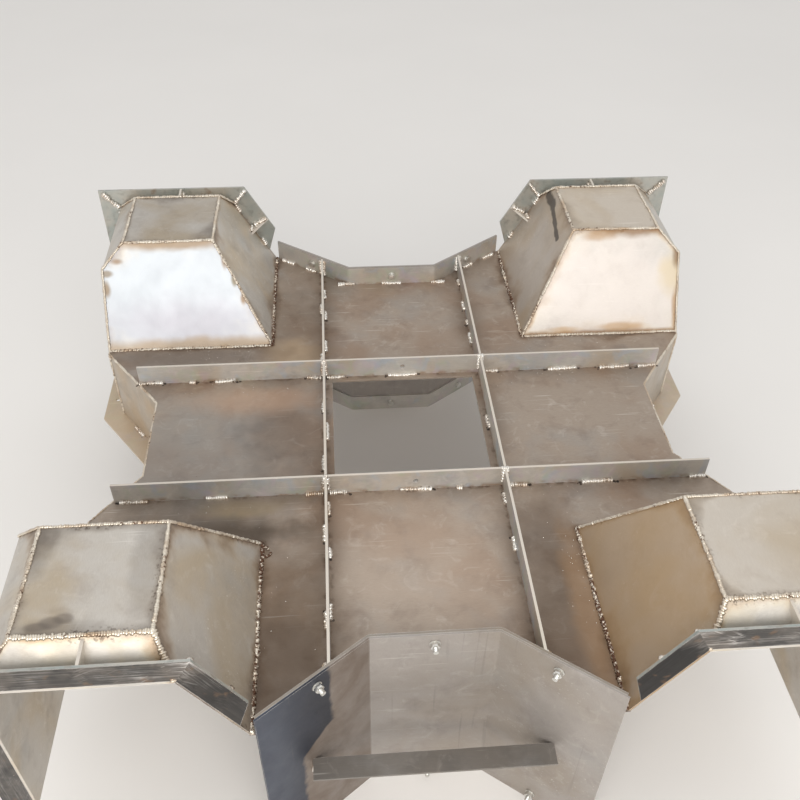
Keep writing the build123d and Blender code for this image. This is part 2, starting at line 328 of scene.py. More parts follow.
def smear(tree, place, start, end, width):
    """1 on a ragged smear from one place to another, 0 beside it."""
    start, end = Vector(start), Vector(end)
    way = (end - start).normalized()
    off = measured(tree, "SUBTRACT", place, start)
    along = measured(tree, "DOT_PRODUCT", off, way)
    along = add_node(tree, "Clamp", {"Value": along, "Min": 0, "Max": (end - start).length}).outputs[0]
    base = add_node(tree, "VectorMath", {0: way, "Scale": along}, operation="SCALE").outputs[0]
    away = measured(tree, "DISTANCE", off, base)
    ragged = ranged(tree, noise(tree, place, 0.03, 3), 0.3, 0.7, -0.14 * width, 0.14 * width)
    away = calculated(tree, "ADD", away, ragged)
    return ranged(tree, away, width * 0.6, width * 0.35)


def edge_share(tree):
    """1 on the outer 1.5 mm of every edge, 0 on the flat."""
    rounded = add_node(tree, "Bevel", {"Radius": 0.0015}, samples=4).outputs[0]
    flat = add_node(tree, "NewGeometry").outputs["Normal"]
    same = measured(tree, "DOT_PRODUCT", rounded, flat)
    return ranged(tree, same, 0.985, 0.90)


def plate_marks(tree, place, shown):
    """Soot and painted shadow by the legs, a painted sheen, cool scale at the left notch, painted shade and
    burnt patches by the ribs.
    """
    # Dark brown patches by the legs: soot together with painted shadow of the legs on the plate
    patches = (
        ((-0.30, -0.60), (0.10, 0.24), 0.60, "#66533F"), ((0.31, -0.64), (0.09, 0.22), 0.50, "#66533F"),
        ((-0.53, -0.31), (0.20, 0.06), 0.50, "#66533F"), ((-0.32, 0.47), (0.10, 0.20), 0.45, "#66533F"),
        ((0.31, -0.39), (0.07, 0.13), 0.55, "#5F4B39"), ((-0.43, -0.26), (0.09, 0.03), 0.40, "#B09A70"),
        ((-0.47, -0.345), (0.17, 0.045), 0.65, "#41382F"), ((-0.58, -0.08), (0.20, 0.18), 0.40, "#8A8D8D"),
        ((-0.33, 0.00), (0.10, 0.16), 0.50, "#5E5046"), ((-0.31, 0.32), (0.08, 0.07), 0.60, "#C6AC8C"),
        ((-0.34, -0.70), (0.10, 0.13), 0.50, "#4E4036"), ((0.28, -0.66), (0.07, 0.16), 0.34, "#4E4036"),
        ((0.345, -0.60), (0.030, 0.22), 0.50, "#A88867"), ((-0.62, 0.335), (0.26, 0.045), 0.42, "#5A5047"),
        # The first patch on the next line is a painted sheen, lighter in the front middle
        ((0.00, -0.45), (0.20, 0.16), 0.25, "#D8C4B2"), ((-0.40, 0.13), (0.16, 0.05), 0.45, "#C8A68C"),
    )
    shown = patched(tree, place, shown, patches, 0.6, FACE)
    away = rib_distance(tree, place)
    # Painted shade on the plate along the ribs, brownish, up to 70 mm out
    painted_rib_shade = ranged(tree, away, 0.075, 0.005, 0, 0.42, smooth=True)
    painted_rib_shade = times(tree, painted_rib_shade, ranged(tree, noise(tree, place, 0.20, 1), 0.36, 0.62))
    shown = mixed(tree, painted_rib_shade, shown, "#6E5B4A")
    foot = ranged(tree, away, 0.016, 0.005)
    foot = times(tree, foot, ranged(tree, noise(tree, place, 0.022, 2), 0.5, 0.66, 0, 0.75))
    return mixed(tree, foot, shown, "#5F4B3A")


def panel_marks(tree, place, shown):
    """A dark blue-grey patch on the outer part of the front left facet, and thin dark runs down the sheet."""
    across, depth, height = add_node(tree, "SeparateXYZ", {0: place}).outputs
    # The left facet is browner than the rest
    warm = times(tree, ranged(tree, across, -0.136, -0.140), ranged(tree, depth, 0, -0.01))
    cloud = ranged(tree, noise(tree, place, 0.09, 4, 0.6, 0.5, moved=(1.0, 4.0, 2.0)), 0.35, 0.65, 0.5, 0.85)
    shown = mixed(tree, times(tree, warm, cloud), shown, "#6F5F52")
    low = ((0.0, -0.68, 0.30), (0.35, 0.2, 0.16), 0.18, "#6F6863")
    shown = patched(tree, place, shown, (low,), 0.5)
    # The edge of the dark blue-grey patch runs straight down to 410 mm, then outwards
    edge = ranged(tree, height, 0.41, 0.34, -0.222, -0.288)
    ragged = ranged(tree, noise(tree, place, 0.03, 3), 0.3, 0.7, -0.004, 0.004)
    past = calculated(tree, "SUBTRACT", across, edge)
    past = calculated(tree, "ADD", past, ragged)
    scale = times(tree, ranged(tree, past, 0.004, -0.004), ranged(tree, depth, 0, -0.01))
    tone = mixed(tree, ranged(tree, across, -0.36, -0.24, smooth=True), "#434B5A", "#252A35")
    cloud = ranged(tree, noise(tree, place, 0.07, 4, 0.6), 0.4, 0.7, 0, 0.5)
    tone = mixed(tree, cloud, tone, "#3D414C")
    shown = mixed(tree, times(tree, scale, 0.94), shown, tone)
    # Runs about 9 mm wide and 300 mm long
    runs = noise(tree, place, 0.009, 1, 0.4, stretch=(1, 1, 0.03))
    runs = ranged(tree, runs, 0.66, 0.78, 0, 0.4)
    runs = times(tree, runs, ranged(tree, noise(tree, place, 0.2, 1), 0.45, 0.6))
    return mixed(tree, runs, shown, "#6F6A66")


def inner_wall_marks(tree, place, shown):
    """Tan scale on the front right wall and a black smear of grease on the back right one."""
    patches = (
        ((0.45, -0.62, FACE + 0.12), (0.2, 0.34, 0.22), 0.65, "#BC9C74"),
        ((0.45, 0.62, FACE + 0.12), (0.2, 0.34, 0.22), 0.35, "#A38C78"),
    )
    shown = patched(tree, place, shown, patches, 0.3)
    black = smear(tree, place, (0.511, 0.80, FACE + 0.240), (0.511, 0.725, FACE + 0.240), 0.030)
    thin = smear(tree, place, (0.511, 0.735, FACE + 0.240), (0.496, 0.575, FACE + 0.213), 0.018)
    black = calculated(tree, "MAXIMUM", black, thin)
    return mixed(tree, times(tree, black, 0.85), shown, "#4A4440")


def leg_front_marks(tree, place, shown):
    """A cool sheen and tan bands on the back left wall, a light cloud and stains on the back right one."""
    cool = patch(tree, place, (-0.64, 0.44, FACE + 0.12), (0.30, 0.3, 0.18), 0.35)
    lilac = patch(tree, place, (-0.60, 0.40, FACE + 0.06), (0.22, 0.2, 0.06), 0.9)
    tone = mixed(tree, lilac, "#C6CCD2", "#BBBBC3")
    shown = mixed(tree, times(tree, cool, 0.93), shown, tone)
    patches = (
        ((0.64, 0.44, FACE + 0.12), (0.26, 0.2, 0.15), 0.60, "#E3DAD4"),
        ((-0.62, LEG_FOOT, FACE), (0.30, 0.03, 0.030), 0.70, "#A98F6A"),
        ((-0.66, LEG_HEAD, LEG_TOP), (0.16, 0.03, 0.022), 0.75, "#94754A"),
        # Spots beside the tacks
        ((-0.805, 0.42, KNEE + 0.018), (0.018, 0.2, 0.008), 0.70, "#8A6A45"),
        ((-0.837, 0.42, KNEE - 0.012), (0.016, 0.2, 0.008), 0.70, "#7F6844"),
        ((-0.843, 0.42, KNEE - 0.050), (0.012, 0.2, 0.018), 0.75, "#86693C"),
        ((-0.500, 0.42, LEG_TOP - 0.048), (0.008, 0.2, 0.024), 0.75, "#8C6A3E"),
        ((-0.474, 0.42, LEG_TOP - 0.100), (0.009, 0.2, 0.018), 0.75, "#7C6A42"),
        ((-0.452, 0.42, LEG_TOP - 0.150), (0.009, 0.2, 0.016), 0.75, "#8C6A3E"),
        # The same round the back right wall: a dark head, a straw side, brown stains at the foot
        ((0.69, LEG_HEAD, LEG_TOP), (0.14, 0.03, 0.020), 0.80, "#8A6740"),
        ((0.60, LEG_HEAD, LEG_TOP - 0.018), (0.05, 0.03, 0.014), 0.60, "#A88254"),
        ((0.84, 0.42, KNEE - 0.045), (0.045, 0.2, 0.055), 0.55, "#D5C299"),
        ((0.845, 0.42, KNEE - 0.008), (0.016, 0.2, 0.028), 0.70, "#7D5C3C"),
        ((0.845, 0.42, FACE + 0.060), (0.010, 0.2, 0.050), 0.60, "#A88254"),
        ((0.62, LEG_FOOT, FACE), (0.30, 0.03, 0.010), 0.75, "#8A6740"),
        ((0.68, LEG_FOOT, FACE + 0.018), (0.07, 0.03, 0.010), 0.60, "#BD9868"),
        ((0.50, LEG_FOOT, FACE + 0.014), (0.05, 0.03, 0.008), 0.50, "#BD9868"),
    )
    return patched(tree, place, shown, patches, 0.5)


def leg_top_marks(tree, place, shown):
    """Dark smudges on the front left top plate, a warmer tone on the two right ones."""
    smudge, warm = "#6A625B", "#DACAB5"
    patches = (
        ((-0.715, -0.757), (0.018, 0.011), 0.50, smudge), ((-0.692, -0.748), (0.016, 0.010), 0.50, smudge),
        ((-0.740, -0.765), (0.020, 0.008), 0.50, smudge), ((-0.770, -0.560), (0.030, 0.100), 0.40, smudge),
        ((-0.700, -0.775), (0.100, 0.022), 0.35, smudge), ((-0.560, -0.600), (0.030, 0.140), 0.25, smudge),
        ((-0.660, 0.650), (0.200, 0.200), 0.18, smudge), ((0.670, 0.650), (0.200, 0.200), 0.45, warm),
        ((0.670, -0.650), (0.200, 0.200), 0.28, warm),
    )
    return patched(tree, place, shown, patches, 0.4, LEG_TOP)


def bar_marks(tree, place, shown, top_colour="#E3DACD"):
    """Iridescent mill scale, burnt patches at the foot of the bars, and a painted highlight along their tops.
    """
    sheens = ((2.2, 7.1, 0.5), "#A4B4C6"), ((5.9, 1.3, 8.2), "#A9B79F"), ((0.3, 4.4, 3.7), "#BBA9B6")
    for moved, code in sheens:
        sheen = noise(tree, place, 0.06, 3, 0.55, 0.6, moved)
        sheen = ranged(tree, sheen, 0.52, 0.70, 0, 0.40, smooth=True)
        shown = mixed(tree, sheen, shown, code)
    height = add_node(tree, "SeparateXYZ", {0: place}).outputs[2]
    above = calculated(tree, "ABSOLUTE", calculated(tree, "SUBTRACT", height, FACE))
    foot = ranged(tree, above, 0.014, 0.002)
    foot = times(tree, foot, ranged(tree, noise(tree, place, 0.03, 3), 0.46, 0.62, 0, 0.7))
    shown = mixed(tree, foot, shown, "#8A6A4A")
    parting = ranged(tree, height, PARTING + 0.012, PARTING + 0.008, 0, 0.5)
    shown = mixed(tree, times(tree, parting, ranged(tree, height, 0.1, 0.15)), shown, "#DFC6A4")
    # Painted highlight along the tops, where the bars face up; a darker top on the bent bars
    top = ranged(tree, height, FACE + BAR_WIDTH - 0.0006, FACE + BAR_WIDTH - 0.0003, 0, 0.75)
    return mixed(tree, top, shown, top_colour)


def bare_steel(
    name, colour, patches, metallic, rough, grain_way, near=None, marks=None,
    cool=("#A3A3A1", 0.45), tint=None,
):
    """Bare hot-rolled steel: clouds, stains, rolling lines, scratches, edges lightened as burrs and painted
    highlight, heat tint at the welds.

    patches are the hex codes of the warm clouds, the dark stains and the bright scratches, cool is that of
    the cool clouds and how strong they are. near gives the distance to the welds, marks adds what only this
    piece has. tint is the heat tint: its colours from the seam outwards, the least and the most that it
    reaches in metres, and how strong it is.
    """
    material, tree, shader, place = blank_material(name)
    warm, dark, bright = patches
    cool_colour, cool_most = cool
    # Clouds about 300 mm across, left by the rolling heat
    cloud = ranged(tree, noise(tree, place, 0.30, 3, 0.55, 0.6), 0.42, 0.66, smooth=True)
    shown = mixed(tree, cloud, colour, warm)
    # Cool grey clouds about 180 mm across, where the scale is thicker
    cloud = noise(tree, place, 0.18, 4, 0.6, moved=(7.3, 2.1, 4.4))
    shown = mixed(tree, ranged(tree, cloud, 0.5, 0.72, 0, cool_most), shown, cool_colour)
    # Stains and hand marks about 70 mm across
    stain = noise(tree, place, 0.07, 6, 0.62, 0.3)
    shown = mixed(tree, ranged(tree, stain, 0.52, 0.80, 0, 0.42), shown, dark)
    # Light smears about 120 mm long
    light = noise(tree, place, 0.05, 5, 0.65, 1.2, moved=(1.9, 5.2, 3.3))
    shown = mixed(tree, ranged(tree, light, 0.56, 0.74, 0, 0.30), shown, bright)
    # Rolling lines about 9 mm apart along the sheet or bar
    lines = noise(tree, place, 0.009, 3, 0.6, stretch=grain_way)
    shown = mixed(tree, ranged(tree, lines, 0.35, 0.75, 0, 0.28), shown, dark)
    # Scratches: hair lines up to 150 mm long in two directions, drawn 1.5 mm wide so that they show
    hairs = []
    for turn, moved in ((0.45, 3.1), (-0.8, 8.7)):
        inputs = {"Vector": place, "Location": (moved,) * 3, "Rotation": (turn, turn * 0.7, turn)}
        way = add_node(tree, "Mapping", {**inputs, "Scale": (5, 190, 190)}).outputs[0]
        hairs.append(ranged(tree, noise(tree, way, 1.0, 1.5, 0.5, 0.15), 0.68, 0.76))
    scratches = calculated(tree, "MAXIMUM", *hairs)
    scratches = times(tree, scratches, ranged(tree, noise(tree, place, 0.11, 1), 0.5, 0.62, 0, 0.6))
    shown = mixed(tree, scratches, shown, bright)
    if near is not None:
        away = near(tree, place)
        # Heat tint: its width changes along the seam, mostly a few mm, wide in places
        stops, shortest, longest, strongest = tint
        reach = ranged(tree, noise(tree, place, 0.16, 2, moved=(4.1, 0.6, 2.2)), 0.38, 0.64)
        reach = ranged(tree, times(tree, reach, reach), 0, 1, shortest, longest)
        far = calculated(tree, "DIVIDE", away, reach)
        ragged = ranged(tree, noise(tree, place, 0.02, 3), 0.3, 0.7, -0.13, 0.13)
        far = calculated(tree, "ADD", far, ragged)
        band = add_node(tree, "ValToRGB", {0: far})
        set_ramp(band, stops)
        uneven = ranged(tree, noise(tree, place, 0.09, 2, moved=(0.7, 3.9, 1.4)), 0.34, 0.56, 0.5, 1.0)
        strength = times(tree, ranged(tree, far, 1.15, 0.1, 0, strongest, smooth=True), uneven)
        shown = mixed(tree, strength, shown, band.outputs["Color"])
        # Soot spots about 5 mm across, close to the bead
        spots = ranged(tree, noise(tree, place, 0.007, 2, moved=(1.1, 2.7, 0.3)), 0.56, 0.64, 0, 0.8)
        spots = times(tree, ranged(tree, away, 0.014, 0.005), spots)
        stretches = noise(tree, place, 0.10, 2, moved=(5.5, 0.8, 1.7))
        spots = times(tree, spots, ranged(tree, stretches, 0.44, 0.58))
        shown = mixed(tree, spots, shown, "#4C3D31")
    if marks is not None:
        shown = marks(tree, place, shown)
    # Edges painted lighter: bright burrs together with a painted highlight
    edges = times(tree, edge_share(tree), ranged(tree, noise(tree, place, 0.03, 2), 0.35, 0.6, 0.25, 0.8))
    shown = mixed(tree, edges, shown, bright)
    # Slight dents of the sheet, 250 mm across, under a mill grain of 4 mm
    relief = bump(tree, 0.25, 0.004, noise(tree, place, 0.25, 1))
    relief = bump(tree, 0.12, 0.0006, noise(tree, place, 0.004, 3), relief)
    surface(tree, shader, shown, ranged(tree, stain, 0.3, 0.7, *rough), metallic, relief)
    return material


def ring_steel(name, metallic, rough):
    """Flat bar of the end flanges: grey inside, dark outside, with grinding scratches along every bar."""
    material, tree, shader, place = blank_material(name)
    one_leg = measured(tree, "ABSOLUTE", place)
    across, depth, height = add_node(tree, "SeparateXYZ", {0: one_leg}).outputs
    # Which bar a point is on: past the outer mitre the upright one, before the inner mitre the slanted one
    outer, inner = mitre_sides(tree, one_leg)
    upright = ranged(tree, outer, 0, 0.0005)
    slanted = ranged(tree, inner, 0, -0.0005)
    slant_run = measured(tree, "DOT_PRODUCT", one_leg, SLOPE)
    slant_across = measured(tree, "DOT_PRODUCT", one_leg, (-SLOPE.z, 0, SLOPE.x))
    ways = [
        add_node(tree, "CombineXYZ", {0: run, 1: wide, 2: depth}).outputs[0]
        for run, wide in ((across, height), (height, across), (slant_run, slant_across))
    ]
    way = add_node(tree, "Mix", {0: upright, 4: ways[0], 5: ways[1]}, data_type="VECTOR").outputs[1]
    way = add_node(tree, "Mix", {0: slanted, 4: way, 5: ways[2]}, data_type="VECTOR").outputs[1]
    # Scratches about 2 mm apart and up to 100 mm long, drawn coarser than in life so that they show
    streaks = noise(tree, way, 0.0022, 3, 0.6, stretch=(0.02, 1, 0.1))
    near_mitre = calculated(tree, "MINIMUM", *(calculated(tree, "ABSOLUTE", side) for side in (outer, inner)))
    ragged = ranged(tree, noise(tree, place, 0.05, 3), 0.3, 0.7, -0.03, 0.03)
    near_mitre = calculated(tree, "ADD", near_mitre, ragged)
    ground = ranged(tree, near_mitre, 0.085, 0.02, 0.25, 1.0, smooth=True)
    outside = ranged(tree, depth, HALF - 0.0008, HALF - 0.0004)
    cloud = ranged(tree, noise(tree, place, 0.12, 4, 0.6), 0.4, 0.65)
    inside_colour = mixed(tree, cloud, "#A9AFAB", "#C3BFB6")
    spots = ranged(tree, noise(tree, place, 0.02, 3), 0.55, 0.75, 0, 0.5)
    inside_colour = mixed(tree, spots, inside_colour, "#77756F")
    dark = mixed(tree, ranged(tree, noise(tree, place, 0.09, 3), 0.4, 0.65), "#403E3C", "#716962")
    smudge = ranged(tree, noise(tree, place, 0.035, 4, 0.6, 0.8, moved=(0.4, 1.2, 6.1)), 0.55, 0.68, 0, 0.75)
    dark = mixed(tree, smudge, dark, "#2F2C2B")
    bright = mixed(tree, ranged(tree, noise(tree, place, 0.06, 2), 0.4, 0.6), "#DAD7D3", "#A39C95")
    # Shorter slanting scratches where the disc was turned, over the long ones
    slanting = add_node(tree, "Mapping", {"Vector": way, "Rotation": (0, 0, 0.5)}).outputs[0]
    slashes = noise(tree, slanting, 0.0035, 3, 0.6, 0.4, stretch=(0.05, 1, 0.1))
    slashes = ranged(tree, slashes, 0.56, 0.64)
    slashes = times(tree, slashes, ranged(tree, noise(tree, place, 0.045, 2), 0.48, 0.58))
    broken = ranged(tree, noise(tree, place, 0.07, 3, 0.6, 0.5, moved=(3.3, 0.2, 1.9)), 0.36, 0.6, 0.15, 1.0)
    scratched = times(tree, ranged(tree, streaks, 0.49, 0.60), broken)
    scratched = calculated(tree, "MAXIMUM", scratched, slashes)
    outside_colour = mixed(tree, times(tree, scratched, ground), dark, bright)
    # Black scale left on the slanted bars of the two front rings
    for centre, share in (((0.42, -HALF, FACE + 0.10), 0.96), ((-0.41, -HALF, FACE + 0.09), 0.72)):
        black = times(tree, patch(tree, place, centre, (0.15, 0.1, 0.15), 0.3), slanted)
        outside_colour = mixed(tree, times(tree, black, share), outside_colour, "#171413")
    shown = mixed(tree, outside, inside_colour, outside_colour)
    # Brown tint in spots along the welded feet
    tint = ranged(tree, noise(tree, place, 0.03, 3, moved=(2.2, 0.4, 0.9)), 0.6, 0.74, 0, 0.5)
    shown = mixed(tree, tint, shown, "#8D6B4B")
    # Edges painted lighter: bright burrs together with a painted highlight
    edges = times(tree, edge_share(tree), ranged(tree, noise(tree, place, 0.02, 2), 0.3, 0.6, 0.3, 0.9))
    shown = mixed(tree, edges, shown, "#E0DCD6")
    relief = bump(tree, 0.2, 0.0004, streaks)
    surface(tree, shader, shown, ranged(tree, streaks, 0.3, 0.7, *rough), metallic, relief)
    return material


def weld_metal(name, clean, burnt, share, rough, metallic=0.85, tan="#B08C62", sooty=0.0):
    """Weld metal as laid: bright ripples with burnt slag between them, some stretches darker than others.

    share is where the burnt spots begin, sooty adds more of them at the foot of the inner walls.
    """
    material, tree, shader, place = blank_material(name)
    # Slag and soot in spots about 6 mm across, more of them in stretches about 120 mm long
    spots = noise(tree, place, 0.006, 2, 0.6)
    more = ranged(tree, noise(tree, place, 0.12, 1, moved=(2.6, 8.1, 5.4)), 0.4, 0.62, -0.06, 0.07)
    spots = calculated(tree, "ADD", spots, more)
    height = add_node(tree, "SeparateXYZ", {0: place}).outputs[2]
    foot = ranged(tree, height, FACE + 0.014, FACE + 0.006, 0, sooty)
    # Only along the feet that run away from the front
    one_leg = measured(tree, "ABSOLUTE", place)
    across = add_node(tree, "SeparateXYZ", {0: one_leg}).outputs[0]
    foot = times(tree, foot, ranged(tree, across, LEG_FOOT + 0.014, LEG_FOOT + 0.007))
    spots = calculated(tree, "ADD", spots, foot)
    spots = ranged(tree, spots, share, share + 0.14)
    # Longer runs of tint about 60 mm long
    runs = ranged(tree, noise(tree, place, 0.06), 0.45, 0.7, 0, 0.6)
    shown = mixed(tree, runs, clean, tan)
    shown = mixed(tree, spots, shown, burnt)
    relief = bump(tree, 0.4, 0.0005, noise(tree, place, 0.002))
    surface(tree, shader, shown, ranged(tree, spots, 0, 1, *rough), metallic, relief)
    return material


def bright_zinc():
    """Zinc-plated steel: bright, bluish, a little dulled in the thread."""
    material, tree, shader, place = blank_material("Zinc_plated_bolt_steel")
    # Dull and yellowed spots about 5 mm across
    spots = noise(tree, place, 0.005)
    shown = mixed(tree, spots, "#EDEEEE", "#BDB9AD")
    surface(tree, shader, shown, ranged(tree, spots, 0, 1, 0.22, 0.42), 0.9)
    return material


def finish_of(name):
    """A finish made by the steel operator."""
    if name not in bpy.data.materials:
        raise RuntimeError("The steel finishes are made first")
    return bpy.data.materials[name]


def only(thing):
    """Selects one object alone and makes it active."""
    bpy.ops.object.select_all(action="DESELECT")
    thing.select_set(True)
    bpy.context.view_layer.objects.active = thing


def select_points(thing, wanted):
    """In edit mode, selects the points for which wanted(place) is true."""
    bpy.ops.mesh.select_all(action="DESELECT")
    bpy.ops.object.mode_set(mode="OBJECT")
    for point in thing.data.vertices:
        point.select = wanted(point.co)
    bpy.ops.object.mode_set(mode="EDIT")


def finish_piece(piece, finish):
    """Gives a finished piece its material and body."""
    piece.data.materials.clear()
    piece.data.materials.append(finish)
    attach(piece, "root")


def copies(name, shape, places):
    """A modelled shape copied to every place, each copy with its own mesh, joined into one piece."""
    made = []
    for place in places:
        copy = shape.copy()
        copy.data = shape.data.copy()
        copy.data.transform(place)
        bpy.context.scene.collection.objects.link(copy)
        made.append(copy)
    bpy.ops.object.select_all(action="DESELECT")
    for copy in made:
        copy.select_set(True)
    piece = made[0]
    bpy.context.view_layer.objects.active = piece
    if len(made) > 1:
        bpy.ops.object.join()
    piece.name = name
    piece.data.name = name
    return piece


def model_ripple():
    """One ripple of weld metal, one unit wide: a drop that leans back over the one before."""
    bpy.ops.mesh.primitive_uv_sphere_add(segments=8, ring_count=6, radius=0.5)
    ripple = bpy.context.object
    bpy.ops.object.mode_set(mode="EDIT")
    bpy.ops.mesh.select_all(action="SELECT")
    bpy.ops.mesh.bisect(plane_co=(0, 0, -0.15), plane_no=(0, 0, 1), clear_inner=True, use_fill=True)
    select_points(ripple, lambda place: place.x > 0.2 and place.z > -0.1)
    bpy.ops.transform.translate(value=(0.06, 0, -0.12))
    select_points(ripple, lambda place: place.x < -0.2)
    bpy.ops.transform.translate(value=(0.10, 0, 0.05))
    bpy.ops.object.mode_set(mode="OBJECT")
    bpy.ops.object.shade_smooth()
    return ripple


def facing(along, outward):
    """A turn that sets X along a seam and Z outwards from it."""
    along = Vector(along).normalized()
    outward = Vector(outward)
    outward = (outward - along * outward.dot(along)).normalized()
    across = outward.cross(along)
    return Matrix((along, across, outward)).transposed().to_4x4()


def bead(start, end, outward, width, pitch, dice, height=0.5, lumps=0.25, proud=0.15):
    """Places of the ripples of one bead from start to end.

    lumps is how much their sizes differ, proud is how far they stand out from the corner, in widths.
    """
    start, end = Vector(start), Vector(end)
    length = (end - start).length
    turn = facing(end - start, outward)
    across = turn.to_3x3() @ Vector((0, 1, 0))
    raised = turn.to_3x3() @ Vector((0, 0, proud * width))
    count = max(2, round(length / pitch))
    places = []
    wander = dice.uniform(0, 6.3)
    for number in range(count):
        share = (number + 0.5 + dice.uniform(-0.2, 0.2)) / count
        wander += dice.uniform(-0.35, 0.55)
        spot = start.lerp(end, share) + raised + across * (math.sin(wander) * 0.09 * width)
        grow = dice.uniform(1 - lumps, 1 + lumps)
        tilt = Matrix.Rotation(dice.uniform(-0.25, 0.25), 4, "Z")
        tilt = tilt @ Matrix.Rotation(dice.uniform(0.0, 0.3), 4, "Y")
        long = pitch * 2.1 * dice.uniform(0.85, 1.2)
        tall = width * height * 1.5 * dice.uniform(0.7, 1.25)
        size = Matrix.Diagonal((long, width * grow, tall, 1))
        places.append(Matrix.Translation(spot) @ turn @ tilt @ size)
    return places


def both(first, second):
    """The way between two directions."""
    return (Vector(first).normalized() + Vector(second).normalized()).normalized()


def leg_seams():
    """Start, end, outward way, width share and lumpiness of every seam of the back right leg."""
    look = {name: way for name, (way, _) in LEG_FACES.items()}
    up = (0, 0, 1)
    foot = (LEG_FOOT, LEG_FOOT, FACE)
    head = (LEG_HEAD, LEG_HEAD, LEG_TOP)
    side_corner = (SHOULDER, LEG_HEAD, LEG_TOP)
    end_corner = (LEG_HEAD, SHOULDER, LEG_TOP)
    far_corner = (SHOULDER, SHOULDER, LEG_TOP)
    side_knee = (HALF, KNEE_IN, KNEE)
    end_knee = (KNEE_IN, HALF, KNEE)
    side_foot = (HALF, LEG_FOOT, FACE)
    end_foot = (LEG_FOOT, HALF - 0.003, FACE)
    return [
        (foot, end_foot, both(look["inner_x"], up), 1.45, 0.45),
        (foot, side_foot, both(look["inner_y"], up), 1.1, 0.35),
        (foot, head, both(look["inner_x"], look["inner_y"]), 1.0, 0.3),
        (head, end_corner, both(look["inner_x"], up), 1.0, 0.3),
        (head, side_corner, both(look["inner_y"], up), 1.0, 0.3),
        (side_corner, far_corner, both(look["side_chamfer"], up), 1.0, 0.3),
        (end_corner, far_corner, both(look["end_chamfer"], up), 1.2, 0.4),
        (far_corner, (HALF, HALF, KNEE), both(look["side_chamfer"], look["end_chamfer"]), 1.0, 0.3),
        (side_corner, side_knee, both(look["inner_y"], look["side_chamfer"]), 1.0, 0.3),
        (end_corner, end_knee, both(look["inner_x"], look["end_chamfer"]), 1.3, 0.4),
        (side_knee, side_foot, both(look["inner_y"], look["side"]), 1.0, 0.3),
    ]


QUARTERS = {"back_right": (1, 1), "back_left": (-1, 1), "front_right": (1, -1), "front_left": (-1, -1)}


def turned(point, quarter):
    """A point or direction of the back right quarter, mirrored to another quarter."""
    return Vector((point[0] * quarter[0], point[1] * quarter[1], point[2]))


# Camera fitted to the photo: place in metres, turns in degrees about its own axes, lens and sensor in mm
CAMERA_PLACE = (-0.1712, -1.736, 2.2118)
CAMERA_TURNS = (("Z", -4.861), ("X", 48.102), ("Z", 0.967))
CAMERA_LENS = 40.327
CAMERA_SENSOR = 36


class MOULD_OT_stage(bpy.types.Operator):
    """Floor, camera and soft studio light"""

    bl_idname = "mould.stage"
    bl_label = "Stage"

    def execute(self, context):
        settings = context.scene.mould_stage
        scene = context.scene
        bpy.ops.mesh.primitive_plane_add(size=60, location=(0, 0, 0))
        floor = context.object
        floor.name = "floor"
        # Smooth pale screed: faint clouds a metre across
        material, tree, shader, place = blank_material("Pale_screed_floor")
        lighter = [min(1, value * 1.06) for value in settings.floor]
        shown = mixed(tree, noise(tree, place, 1.0, 4), settings.floor, lighter)
        tree.links.new(shown, shader.inputs["Base Color"])
        shader.inputs["Roughness"].default_value = 0.85
        floor.data.materials.append(material)

        bpy.ops.object.camera_add(location=CAMERA_PLACE)
        camera = context.object
        turn = Matrix.Identity(3)
        for axis, degrees in CAMERA_TURNS:
            turn = turn @ Matrix.Rotation(math.radians(degrees), 3, axis)
        camera.rotation_euler = turn.to_euler()
        camera.data.lens = CAMERA_LENS
        camera.data.sensor_width = CAMERA_SENSOR
        camera.data.clip_end = 200
        scene.camera = camera

        # Name, place, what it is aimed at, size, power and colour
        lamps = (
            ("front", (-0.3, -4.2, 2.7), (0, 0, 0.6), (5.0, 3.2), settings.front, "#FFFCF8"),
            ("overhead", (0.2, 0.6, 4.6), (0, 0, 0.4), (3.6, 3.6), settings.overhead, "#FFFFFF"),
        )
        for name, spot, target, size, power, colour in lamps:
            bpy.ops.object.light_add(type="AREA", location=spot)
            lamp = context.object
            lamp.name = name + "_lamp"
            lamp.data.shape = "RECTANGLE"
            lamp.data.size, lamp.data.size_y = size
            lamp.data.energy = power
            lamp.data.color = linear(colour)
            aim = Vector(target) - Vector(spot)
            lamp.rotation_euler = aim.to_track_quat("-Z", "Y").to_euler()

        world = bpy.data.worlds.new("studio")
        scene.world = world
        world.use_nodes = True
        back = world.node_tree.nodes["Background"]
        back.inputs["Color"].default_value = rgba(linear("#F4F3F2"))
        back.inputs["Strength"].default_value = settings.sky
        scene.view_settings.view_transform = "Standard"
        return {"FINISHED"}


